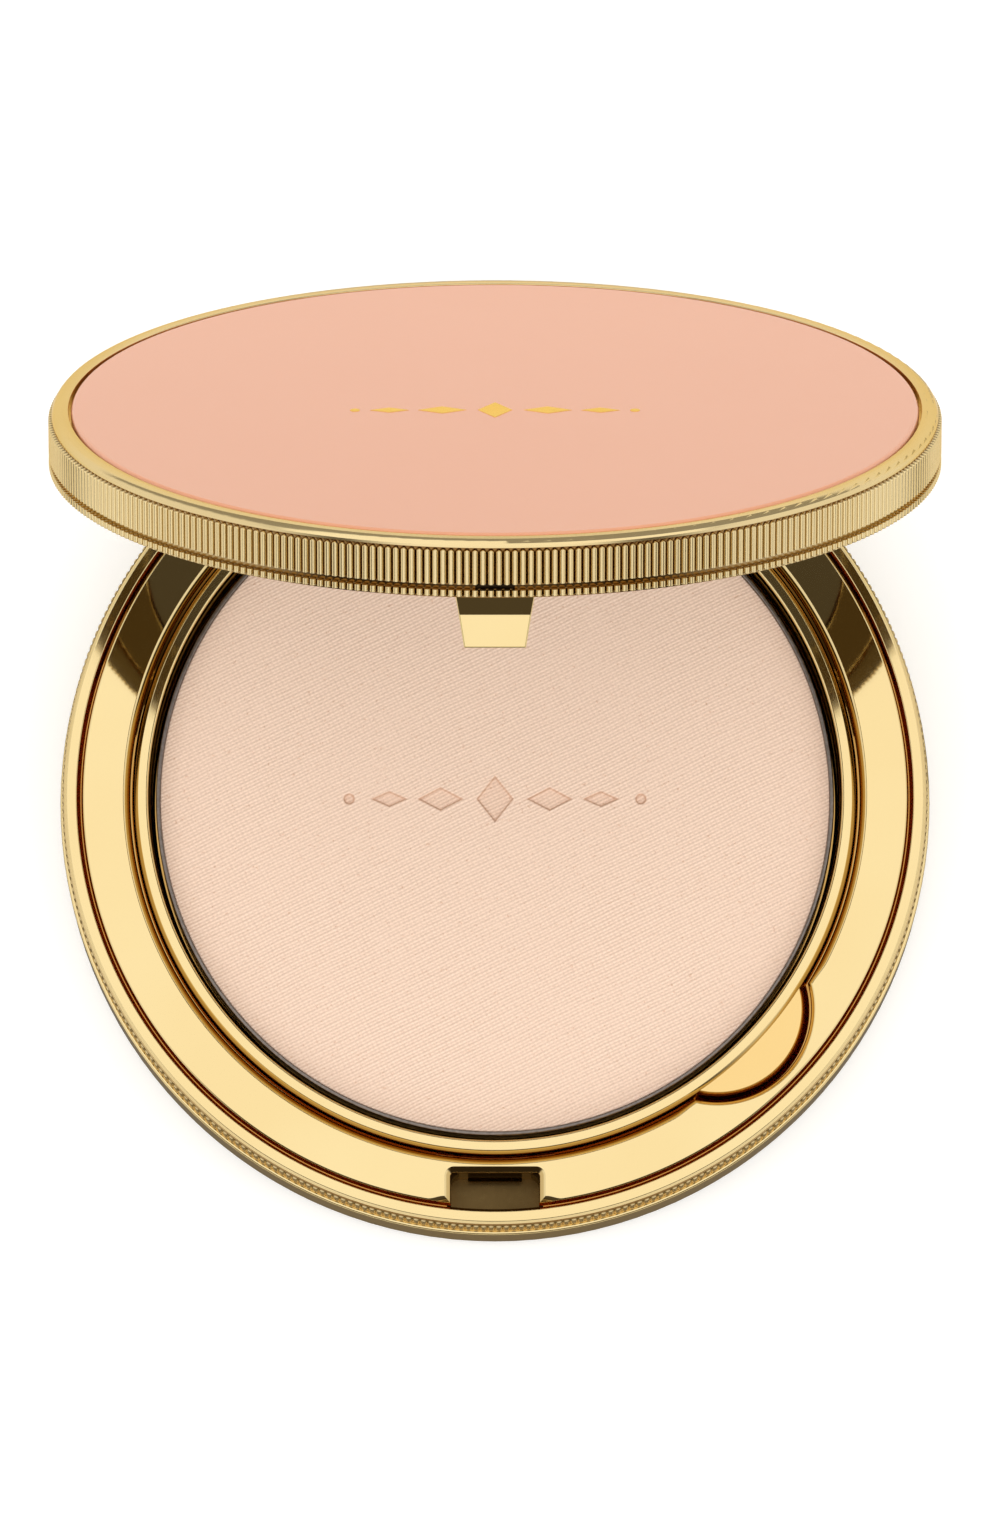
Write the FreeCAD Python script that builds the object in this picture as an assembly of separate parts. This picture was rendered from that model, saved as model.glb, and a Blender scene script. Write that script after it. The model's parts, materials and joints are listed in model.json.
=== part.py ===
# Round pressed-powder compact: a gold casing with a pink enamelled lid, hinged at the back,
# and a lift-up powder tray over a puff well.
#
# Frame: millimetres, +Z up, the compact stands on z = 0 with its round base centred on the Z axis.
# The front (latch side) faces -Y and the hinge is at +Y.
# The lid is drawn closed, then swung open about the hinge pin to the angle it is kept at.
import FreeCAD, Part
import math
import os
from FreeCAD import Vector as V

# ---------------------------------------------------------------- driving dimensions
LID_OPEN_DEG = 63.3        # how far the lid stands open in the stored pose

# base
H_BASE = 13.0              # floor to the top of the base's lip and frame
R_BODY = 39.1              # smooth lower body
BODY_TOP = 8.1             # top of the smooth lower body
BODY_ROUND = 2.6           # rounding under the lower body
R_LIP_OUT = 38.3           # flat lip, outside
R_LIP_IN = 37.45           # flat lip, inside (edge of the V groove)
R_SEAT = 37.2              # frame pressed inside the rim ring
R_FRAME_OUT = 36.95        # flat face of the frame, outside (edge of the V groove)
R_OPEN = 33.05             # opening for the powder tray: wide enough for the tray to swing up
R_WELL = 31.75             # puff well wall
LEDGE_Z = 11.0             # ledge the tray rests on
FLOOR_WELL = 2.3           # top of the puff well's floor

# knurling
N_RIB = 360                # ribs round each hoop
RIB_DEPTH = 0.24
BASE_RIB_Z0, BASE_RIB_Z1 = 8.75, 12.25
BASE_RIB_CREST = 38.86
LID_RIB_CREST = 39.0
HOOP_IN_BASE = 38.15
HOOP_IN_LID = 38.3

# tray, pan and powder
TRAY_TOP = 12.95
TRAY_R = 32.1
TRAY_RING_IN = 31.0
TRAY_BODY_R = 31.3
TRAY_FLOOR0, TRAY_FLOOR1 = 6.1, 6.9
TRAY_CAVITY_R = 30.75
TAB_ANGLE = -44.0          # lift tab, degrees round from +X
TAB_CENTRE_R = 27.6
TAB_R = 7.85
NOTCH_R = 8.4
TAB_TOP = 12.6
TAB_THICK = 0.8
PAN_R = 30.45
PAN_WALL = 0.38
PAN_Z0, PAN_RIM = 7.05, 10.8
POWDER_TOP = 10.5

# hinge: one pin carries the base's ears, the lid's knuckles and the tray's knuckle
PIN_Y, PIN_Z = 38.4, 9.0
PIN_R = 0.75
RUN = 0.05                 # running clearance on the pin
KNUCKLE_R = 1.6
TRAY_KNUCKLE_X = 2.9
LID_KNUCKLE_X0, LID_KNUCKLE_X1 = 3.2, 7.35
EAR_X0, EAR_X1 = 7.65, 11.5
WINDOW_DEG = 19.0          # half angle of the hinge window in the casing's rear

# latch
POCKET_X = 3.95
POCKET_Y0, POCKET_Y1 = -34.0, -37.2
POCKET_FLOOR = 7.4
TONGUE_TOP_HALF, TONGUE_TIP_HALF = 3.45, 2.66
TONGUE_Y0, TONGUE_Y1 = -34.75, -36.2
TONGUE_TIP_Z = 7.85

# lid, drawn closed
LID_Z0 = 13.3              # lower edge
LID_TOP = 18.5             # bezel top
R_BEZEL_IN = 37.25
R_ENAMEL = 37.02
ENAMEL_Z0 = 17.4
ENAMEL_EDGE = 18.45
ENAMEL_CROWN = 18.72
SHELL_PLATE0, SHELL_PLATE1 = 16.3, 17.25
GROOVE0, GROOVE1 = 14.05, 14.5   # smooth groove between the two knurled bands
BAND_TOP = 17.75
R_MIRROR = 32.0
MIRROR_Z0, MIRROR_Z1 = 13.95, 15.45
FRAME_FACE = 13.35         # polished face round the mirror

# puff
PUFF_R, PUFF_Z0, PUFF_Z1 = 29.6, 2.35, 5.35
RIBBON_HALF = 6.0


# ---------------------------------------------------------------- helpers
def wire2d(pts, put):
    """Closed wire through pts = [(a, b[, fillet radius])]; put(a, b) makes the 3-D point."""
    n = len(pts)
    ends = []
    for i in range(n):
        p = pts[i]
        f = p[2] if len(p) > 2 else 0.0
        a, b = pts[i - 1], pts[(i + 1) % n]
        if f <= 0:
            ends.append((p[:2], None, p[:2]))
            continue
        ux, uy = a[0] - p[0], a[1] - p[1]
        vx, vy = b[0] - p[0], b[1] - p[1]
        lu, lv = math.hypot(ux, uy), math.hypot(vx, vy)
        ux, uy, vx, vy = ux / lu, uy / lu, vx / lv, vy / lv
        half = math.acos(max(-1, min(1, ux * vx + uy * vy))) / 2
        t = f / math.tan(half)
        bx, by = ux + vx, uy + vy
        lb = math.hypot(bx, by)
        c = (p[0] + bx / lb * f / math.sin(half), p[1] + by / lb * f / math.sin(half))
        m = (c[0] - bx / lb * f, c[1] - by / lb * f)
        ends.append(((p[0] + ux * t, p[1] + uy * t), m, (p[0] + vx * t, p[1] + vy * t)))
    edges = []
    for i in range(n):
        s, m, e = ends[i]
        if m:
            edges.append(Part.Arc(put(*s), put(*m), put(*e)).toShape())
        nxt = ends[(i + 1) % n][0]
        if math.hypot(nxt[0] - e[0], nxt[1] - e[1]) > 1e-6:
            edges.append(Part.makeLine(put(*e), put(*nxt)))
    return Part.Wire(edges)


def revolve(pts):
    face = Part.Face(wire2d(pts, lambda r, z: V(r, 0, z)))
    s = face.revolve(V(0, 0, 0), V(0, 0, 1), 360)
    return s if s.ShapeType == "Solid" else s.Solids[0]


def prism_x(pts, x0, x1):
    """Solid from a profile in the YZ plane, from x0 to x1."""
    face = Part.Face(wire2d(pts, lambda y, z: V(x0, y, z)))
    return face.extrude(V(x1 - x0, 0, 0))


def prism_z(pts, z0, z1):
    face = Part.Face(wire2d(pts, lambda x, y: V(x, y, z0)))
    return face.extrude(V(0, 0, z1 - z0))


def cyl(r, z0, z1, x=0.0, y=0.0):
    return Part.makeCylinder(r, z1 - z0, V(x, y, z0))


def ring(r0, r1, z0, z1, x=0.0, y=0.0):
    return cyl(r1, z0, z1, x, y).cut(cyl(r0, z0 - 1, z1 + 1, x, y))


def sector(r0, r1, half_deg, z0, z1):
    """Part of a ring centred on +Y, half_deg to each side, with radial ends."""
    a = math.radians(half_deg)

    def at(r, t):
        return V(r * math.sin(t), r * math.cos(t), z0)
    w = Part.Wire([
        Part.Arc(at(r1, -a), at(r1, 0), at(r1, a)).toShape(), Part.makeLine(at(r1, a), at(r0, a)),
        Part.Arc(at(r0, a), at(r0, 0), at(r0, -a)).toShape(), Part.makeLine(at(r0, -a), at(r1, -a))])
    return Part.Face(w).extrude(V(0, 0, z1 - z0))


def box(x0, x1, y0, y1, z0, z1):
    return Part.makeBox(x1 - x0, y1 - y0, z1 - z0, V(x0, y0, z0))


def bar_x(r, x0, x1):
    """Round bar along the hinge axis."""
    return Part.makeCylinder(r, x1 - x0, V(x0, PIN_Y, PIN_Z), V(1, 0, 0))


def fluted(crest, depth, z0, z1):
    """Solid round bar whose side is N_RIB rounded ribs."""
    step = 2 * math.pi / N_RIB
    root = crest - depth
    edges = []
    for i in range(N_RIB):
        a0, am, a1 = i * step, (i + 0.5) * step, (i + 1) * step
        edges.append(Part.Arc(V(root * math.cos(a0), root * math.sin(a0), z0),
                              V(crest * math.cos(am), crest * math.sin(am), z0),
                              V(root * math.cos(a1), root * math.sin(a1), z0)).toShape())
    return Part.Face(Part.Wire(edges)).extrude(V(0, 0, z1 - z0))


def knurled_hoop(r_in, crest, z0, z1, bands):
    """Hoop with ribs over each (low, high) in bands and plain metal just below the roots elsewhere."""
    hoop = ring(r_in, crest - RIB_DEPTH - 0.03, z0, z1)
    for lo, hi in bands:
        hoop = hoop.fuse(fluted(crest, RIB_DEPTH, lo, hi).cut(cyl(r_in + 0.12, lo - 1, hi + 1)))
    return hoop


def clean(s):
    s = s.removeSplitter() if hasattr(s, "removeSplitter") else s
    return s


def swing(shape, deg=LID_OPEN_DEG):
    """Turn a piece of the closed lid open about the hinge pin."""
    s = shape.copy()
    s.rotate(V(0, PIN_Y, PIN_Z), V(1, 0, 0), -deg)
    return s


parts = {}

# ---------------------------------------------------------------- base casing
window = sector(36.0, 48.0, WINDOW_DEG, 6.6, 30)

# smooth lower body, a shallow cup with a recess for the label underneath
shell = revolve([
    (0, 0.3), (25.0, 0.3), (25.0, 0.0), (R_BODY - BODY_ROUND, 0.0), (R_BODY, 0.0, BODY_ROUND),
    (R_BODY, BODY_TOP, 0.25), (37.7, BODY_TOP), (37.7, 2.9), (36.3, 1.5), (0, 1.5)])
parts["base_shell"] = clean(shell.cut(window))

# label stuck in the recess
parts["bottom_label"] = cyl(24.0, 0.16, 0.3)

# upper rim: the flat lip the lid closes on, spigotted into the lower body
rim = revolve([
    (R_SEAT, 7.0), (37.65, 7.0), (37.65, BODY_TOP), (38.75, BODY_TOP, 0.15), (38.75, 8.55),
    (HOOP_IN_BASE, 8.55), (HOOP_IN_BASE, 12.45), (38.58, 12.45), (38.52, 12.8), (R_LIP_OUT, H_BASE, 0.08),
    (R_LIP_IN, H_BASE, 0.05), (R_SEAT, 12.45)])
parts["base_rim"] = clean(rim.cut(window))

# knurled hoop round the rim
hoop = knurled_hoop(HOOP_IN_BASE, BASE_RIB_CREST, 8.6, 12.4, [(BASE_RIB_Z0, BASE_RIB_Z1)])
parts["base_knurled_hoop"] = hoop.cut(window)

# ---------------------------------------------------------------- base frame
frame = revolve([
    (0, 1.55), (32.6, 1.55), (32.6, 9.9), (36.0, 11.2), (R_SEAT, 11.2), (R_SEAT, 12.4), (R_FRAME_OUT, H_BASE),
    (R_OPEN + 0.28, H_BASE), (R_OPEN + 0.1, 12.93), (R_OPEN, 12.75), (R_OPEN, LEDGE_Z), (R_WELL, LEDGE_Z),
    (R_WELL, FLOOR_WELL, 0.4), (0, FLOOR_WELL)])
# notch for the lift tab
ta = math.radians(TAB_ANGLE)
tx, ty = TAB_CENTRE_R * math.cos(ta), TAB_CENTRE_R * math.sin(ta)
notch_floor = cyl(NOTCH_R + 0.6, 9.6, H_BASE - 0.3, tx, ty).cut(cyl(32.2, 0, 20))
frame = frame.fuse(notch_floor)
frame = frame.cut(cyl(NOTCH_R, LEDGE_Z, 20, tx, ty).cut(cyl(R_WELL + 0.3, 0, 30)))
# latch pocket, walled below the frame's face and open towards the rim
pocket_block = box(-5.3, 5.3, -37.0, -31.9, 6.4, 12.9).common(cyl(36.9, 0, 20)).cut(cyl(32.2, 0, 20))
frame = frame.fuse(pocket_block)
pocket = prism_z([(-POCKET_X, POCKET_Y0, 0.9), (-POCKET_X, -38.5), (POCKET_X, -38.5), (POCKET_X, POCKET_Y0, 0.9)], POCKET_FLOOR, 20)
frame = frame.cut(pocket)
# hinge: slots for the lid's and the tray's knuckles, then the two ears
frame = frame.cut(box(-LID_KNUCKLE_X1 - 0.3, LID_KNUCKLE_X1 + 0.3, 34.3, 45, 5.0, 30))
frame = frame.cut(box(-TRAY_KNUCKLE_X - 0.25, TRAY_KNUCKLE_X + 0.25, 30, 45, 5.0, 30))


def ear_profile():
    return [(33.2, 7.6, 0.0), (33.2, 12.85, 0.0), (37.6, 12.85, 0.6), (PIN_Y + KNUCKLE_R, 10.4, 0.9),
            (PIN_Y + KNUCKLE_R, PIN_Z - KNUCKLE_R, 1.5), (37.0, PIN_Z - KNUCKLE_R)]


for x0, x1 in ((EAR_X0, EAR_X1), (-EAR_X1, -EAR_X0)):
    frame = frame.fuse(prism_x(ear_profile(), x0, x1))
frame = frame.cut(bar_x(PIN_R, -EAR_X1 - 1, EAR_X1 + 1))
frame = clean(frame)
parts["base_frame"] = frame

# steel pin, pressed in the ears
pin = bar_x(PIN_R, -EAR_X1 + 0.1, EAR_X1 - 0.1)
pin = pin.makeChamfer(0.15, [e for e in pin.Edges if e.Curve.TypeId == "Part::GeomCircle"])
parts["hinge_pin"] = pin

# leaf spring on the pocket's back wall, which grips the tongue
leaf = prism_x([(-34.02, 7.42), (-34.17, 7.42), (-34.17, 8.3), (-34.44, 9.2, 0.35), (-34.17, 10.1), (-34.17, 10.8),
                (-34.02, 10.8), (-34.02, 10.0), (-34.27, 9.2, 0.25), (-34.02, 8.4)], -2.4, 2.4)
parts["latch_spring"] = leaf

# ---------------------------------------------------------------- puff in its well
parts["puff"] = revolve([(0, PUFF_Z0), (PUFF_R, PUFF_Z0, 1.2), (PUFF_R, PUFF_Z1, 1.2), (0, PUFF_Z1)])
parts["puff_ribbon"] = prism_z([(-27.5, -RIBBON_HALF), (27.5, -RIBBON_HALF), (27.5, RIBBON_HALF), (-27.5, RIBBON_HALF)],
                               PUFF_Z1, PUFF_Z1 + 0.25)

# ---------------------------------------------------------------- powder tray
tray = revolve([
    (0, TRAY_FLOOR0), (TRAY_BODY_R - 0.4, TRAY_FLOOR0), (TRAY_BODY_R, TRAY_FLOOR0 + 0.4), (TRAY_BODY_R, LEDGE_Z + 0.05),
    (TRAY_R - 0.1, LEDGE_Z + 0.05), (TRAY_R, LEDGE_Z + 0.15), (TRAY_R, TRAY_TOP - 0.2), (TRAY_R - 0.06, TRAY_TOP - 0.06),
    (TRAY_R - 0.2, TRAY_TOP), (TRAY_RING_IN + 0.08, TRAY_TOP), (TRAY_RING_IN, TRAY_TOP - 0.08), (TRAY_CAVITY_R, PAN_RIM + 0.1),
    (TRAY_CAVITY_R, TRAY_FLOOR1), (0, TRAY_FLOOR1)])
tab = cyl(TAB_R, TAB_TOP - TAB_THICK, TAB_TOP, tx, ty)
tab = tab.makeFillet(0.18, [e for e in tab.Edges if e.Curve.TypeId == "Part::GeomCircle" and e.BoundBox.ZMin > TAB_TOP - 0.01])
tray = tray.fuse(tab.cut(cyl(31.6, 0, 20)))
arm = prism_x([(30.9, 7.3), (30.9, 12.9), (36.6, 12.9, 0.5), (PIN_Y + KNUCKLE_R, 10.6, 0.9), (PIN_Y + KNUCKLE_R, PIN_Z - KNUCKLE_R, 1.5),
               (36.9, PIN_Z - KNUCKLE_R), (34.5, 7.3)], -TRAY_KNUCKLE_X, TRAY_KNUCKLE_X)
tray = tray.fuse(arm.cut(cyl(TRAY_CAVITY_R + 0.15, 0, 20)))
tray = tray.cut(bar_x(PIN_R + RUN, -5, 5))
# finger hole under the pan, to push an empty pan out
tray = tray.cut(cyl(2.0, 5, 8, 0, -22.0))
parts["powder_tray"] = clean(tray)

pan = revolve([
    (0, PAN_Z0), (PAN_R, PAN_Z0, 0.7), (PAN_R, PAN_RIM, 0.12), (PAN_R - PAN_WALL, PAN_RIM, 0.12),
    (PAN_R - PAN_WALL, PAN_Z0 + 0.35, 0.4), (0, PAN_Z0 + 0.35)])
parts["powder_pan"] = pan
cake = revolve([
    (0, PAN_Z0 + 0.35), (PAN_R - PAN_WALL, PAN_Z0 + 0.35, 0.4), (PAN_R - PAN_WALL, POWDER_TOP, 0.1), (0, POWDER_TOP)])
DEBOSS = 0.3
motif = [(0.0, 1.7, 2.15)]
for s in (-1, 1):
    motif += [(s * 4.9, 2.1, 1.1), (s * 9.5, 1.7, 0.75)]
for cx, hx, hy in motif:
    cake = cake.cut(prism_z([(cx - hx, 0), (cx, -hy), (cx + hx, 0), (cx, hy)], POWDER_TOP - DEBOSS, 20))
for s in (-1, 1):
    cake = cake.cut(cyl(0.52, POWDER_TOP - DEBOSS, 20, s * 13.1, 0))
parts["powder_cake"] = cake
parts["pan_adhesive"] = ring(10.0, 18.0, TRAY_FLOOR1, PAN_Z0)

# ---------------------------------------------------------------- lid (closed)
lid_shell = revolve([
    (0, SHELL_PLATE0), (36.9, SHELL_PLATE0), (36.9, LID_Z0 + 0.1), (37.15, LID_Z0), (HOOP_IN_LID, LID_Z0),
    (HOOP_IN_LID, BAND_TOP), (38.72, BAND_TOP), (38.72, 17.95, 0.0), (38.5, LID_TOP - 0.12, 0.55), (37.75, LID_TOP, 0.3),
    (R_BEZEL_IN, LID_TOP - 0.1, 0.1), (R_BEZEL_IN, SHELL_PLATE1), (0, SHELL_PLATE1)])
parts["lid_shell"] = lid_shell

lid_hoop = knurled_hoop(HOOP_IN_LID, LID_RIB_CREST, LID_Z0, BAND_TOP,
                        [(LID_Z0 + 0.08, GROOVE0), (GROOVE1, BAND_TOP - 0.06)])
parts["lid_knurled_hoop"] = lid_hoop

# slightly domed enamelled disc with a rounded edge
dome_r = (R_ENAMEL ** 2 + (ENAMEL_CROWN - ENAMEL_EDGE) ** 2) / (2 * (ENAMEL_CROWN - ENAMEL_EDGE))


def dome(r):
    return V(r, 0, ENAMEL_CROWN - dome_r + math.sqrt(dome_r ** 2 - r ** 2))


r_edge = R_ENAMEL - 0.4
z_edge = dome(r_edge).z
outline = [
    Part.makeLine(V(0, 0, ENAMEL_Z0), V(R_ENAMEL, 0, ENAMEL_Z0)),
    Part.makeLine(V(R_ENAMEL, 0, ENAMEL_Z0), V(R_ENAMEL, 0, z_edge - 0.4)),
    Part.Arc(V(R_ENAMEL, 0, z_edge - 0.4), V(R_ENAMEL - 0.117, 0, z_edge - 0.117), V(r_edge, 0, z_edge)).toShape(),
    Part.Arc(dome(r_edge), dome(19.0), dome(2.0)).toShape(),
    Part.makeLine(dome(2.0), V(0, 0, dome(2.0).z)),
    Part.makeLine(V(0, 0, dome(2.0).z), V(0, 0, ENAMEL_Z0))]
enamel = Part.Face(Part.Wire(outline)).revolve(V(0, 0, 0), V(0, 0, 1), 360)
parts["enamel_disc"] = enamel
parts["enamel_adhesive"] = cyl(36.0, SHELL_PLATE1, ENAMEL_Z0)

# plain gold ornament let into the enamel: a lozenge between two pairs of leaves
def lozenge(cx, hx, hy):
    return prism_z([(cx - hx, 0), (cx, -hy), (cx + hx, 0), (cx, hy)], 18.0, ENAMEL_CROWN + 0.05)


orn = [lozenge(0, 1.5, 2.2)]
for s in (-1, 1):
    orn += [lozenge(s * 4.6, 2.1, 1.0), lozenge(s * 9.2, 1.7, 0.7), cyl(0.42, 18.0, ENAMEL_CROWN + 0.05, s * 12.2, 0)]
ORN_Y = -2.3
orn = [o.translated(V(0, ORN_Y, 0)) for o in orn]
skin = Part.makeSphere(dome_r + 0.03, V(0, 0, ENAMEL_CROWN - dome_r)).cut(Part.makeSphere(dome_r, V(0, 0, ENAMEL_CROWN - dome_r)))
parts["lid_emblem"] = Part.makeCompound([o.common(skin) for o in orn])

# inner frame that carries the mirror, the tongue and the hinge knuckles
inner = revolve([
    (0, 15.6), (R_MIRROR + 0.15, 15.6), (R_MIRROR + 0.15, FRAME_FACE, 0.12), (36.6, FRAME_FACE, 0.2), (36.6, 14.0), (36.85, 14.1),
    (36.85, SHELL_PLATE0), (0, SHELL_PLATE0)])
leg_profile = [(34.7, 15.0), (34.7, 13.0, 0.3), (37.0, 8.7, 0.0), (PIN_Y, PIN_Z - KNUCKLE_R), (PIN_Y + KNUCKLE_R, PIN_Z - KNUCKLE_R, 1.5),
               (PIN_Y + KNUCKLE_R, 10.2, 0.8), (36.05, 13.2, 0.4), (36.05, 15.0)]
for x0, x1 in ((LID_KNUCKLE_X0, LID_KNUCKLE_X1), (-LID_KNUCKLE_X1, -LID_KNUCKLE_X0)):
    inner = inner.fuse(prism_x(leg_profile, x0, x1))
inner = inner.cut(bar_x(PIN_R + RUN, -12, 12))
socket = box(-3.5, 3.5, TONGUE_Y1, TONGUE_Y0, 13.0, 15.0)
inner = inner.cut(socket)
parts["lid_inner_frame"] = clean(inner)

# latch tongue: a flat tapering blade, its root let into the inner frame
def blade(half0, half1, z_top, z_tip, y0, y1):
    w = Part.makePolygon([V(-half0, y0, z_top), V(half0, y0, z_top), V(half1, y0, z_tip), V(-half1, y0, z_tip), V(-half0, y0, z_top)])
    return Part.Face(w).extrude(V(0, y1 - y0, 0))


tongue = blade(TONGUE_TOP_HALF, TONGUE_TIP_HALF, 13.35, TONGUE_TIP_Z, TONGUE_Y0, TONGUE_Y1)
tongue = tongue.fuse(box(-3.5, 3.5, TONGUE_Y1, TONGUE_Y0, 13.35, 15.0))
tongue = clean(tongue)
tip = [e for e in tongue.Edges if e.BoundBox.ZMax < TONGUE_TIP_Z + 0.01 and e.BoundBox.XLength > 1]
tongue = tongue.makeChamfer(0.3, tip[:2])
parts["latch_tongue"] = tongue

parts["mirror"] = revolve([(0, MIRROR_Z0), (R_MIRROR, MIRROR_Z0, 0.0), (R_MIRROR, MIRROR_Z1), (0, MIRROR_Z1)])
mirror = parts["mirror"]
parts["mirror_tape"] = cyl(28.0, MIRROR_Z1, 15.6)

LID_NODES = ["lid_shell", "lid_knurled_hoop", "enamel_disc", "enamel_adhesive", "lid_emblem",
             "lid_inner_frame", "latch_tongue", "mirror", "mirror_tape"]
for n in LID_NODES:
    parts[n] = swing(parts[n])

# ---------------------------------------------------------------- export
os.makedirs("parts", exist_ok=True)
for old in os.listdir("parts"):
    if old.endswith(".step"):
        os.remove(os.path.join("parts", old))
for name, shape in parts.items():
    solids = shape.Solids
    ok = shape.isValid() and all(s.isClosed() and s.Volume > 0 for s in solids)
    out = solids[0] if len(solids) == 1 else Part.makeCompound(solids)
    out.exportStep(os.path.join("parts", name + ".step"))
    print("%-18s solids %d  faces %4d  volume %9.2f  ok %s" % (name, len(solids), len(shape.Faces), shape.Volume, ok))
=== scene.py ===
# Looks for the round powder compact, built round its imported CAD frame.
import bpy
import json
import math
import numpy as np
from mathutils import Matrix, Vector

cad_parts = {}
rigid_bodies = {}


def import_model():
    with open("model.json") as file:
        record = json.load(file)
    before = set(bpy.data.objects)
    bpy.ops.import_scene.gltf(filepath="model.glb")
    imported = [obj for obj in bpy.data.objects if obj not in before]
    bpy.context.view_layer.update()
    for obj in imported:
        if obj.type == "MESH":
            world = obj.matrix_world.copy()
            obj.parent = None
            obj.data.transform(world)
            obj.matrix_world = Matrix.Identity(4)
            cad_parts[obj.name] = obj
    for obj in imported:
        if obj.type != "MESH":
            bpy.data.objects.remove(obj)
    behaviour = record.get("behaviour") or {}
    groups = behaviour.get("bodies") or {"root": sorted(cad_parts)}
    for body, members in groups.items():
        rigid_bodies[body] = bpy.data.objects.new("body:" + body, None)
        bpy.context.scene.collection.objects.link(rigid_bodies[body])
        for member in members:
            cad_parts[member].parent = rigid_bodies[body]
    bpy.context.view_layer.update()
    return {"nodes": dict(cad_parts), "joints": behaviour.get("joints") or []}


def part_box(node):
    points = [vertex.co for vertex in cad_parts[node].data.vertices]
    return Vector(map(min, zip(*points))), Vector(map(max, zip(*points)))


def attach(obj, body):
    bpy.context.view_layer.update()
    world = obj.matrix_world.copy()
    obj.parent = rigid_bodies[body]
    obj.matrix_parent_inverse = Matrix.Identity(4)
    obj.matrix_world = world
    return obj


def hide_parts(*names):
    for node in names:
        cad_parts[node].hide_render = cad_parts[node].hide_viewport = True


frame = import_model()
NODES = frame["nodes"]

# ------------------------------------------------------------------ facts from the frame
HINGE = frame["joints"][0]
PIN = np.array(HINGE["pos_m"]) * 1000.0
OPEN = math.radians(-HINGE["range_deg"][0])
BASE, LID = HINGE["parent"], HINGE["child"]
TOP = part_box("base_rim")[1].z * 1000.0          # flat lip of the base, mm


def lid_open(p):
    """Points (mm) of the closed lid, swung to the pose it is kept in."""
    p = np.asarray(p, float)
    y, z = p[..., 1] - PIN[1], p[..., 2] - PIN[2]
    c, s = math.cos(OPEN), math.sin(OPEN)
    return np.stack([p[..., 0], PIN[1] + y * c + z * s, PIN[2] - y * s + z * c], -1)


def lid_closed(p):
    """The opposite of lid_open."""
    p = np.asarray(p, float)
    y, z = p[..., 1] - PIN[1], p[..., 2] - PIN[2]
    c, s = math.cos(OPEN), math.sin(OPEN)
    return np.stack([p[..., 0], PIN[1] + y * c - z * s, PIN[2] + y * s + z * c], -1)


def lid_turn(n):
    n = np.asarray(n, float)
    c, s = math.cos(OPEN), math.sin(OPEN)
    return np.stack([n[..., 0], n[..., 1] * c + n[..., 2] * s, -n[..., 1] * s + n[..., 2] * c], -1)


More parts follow.
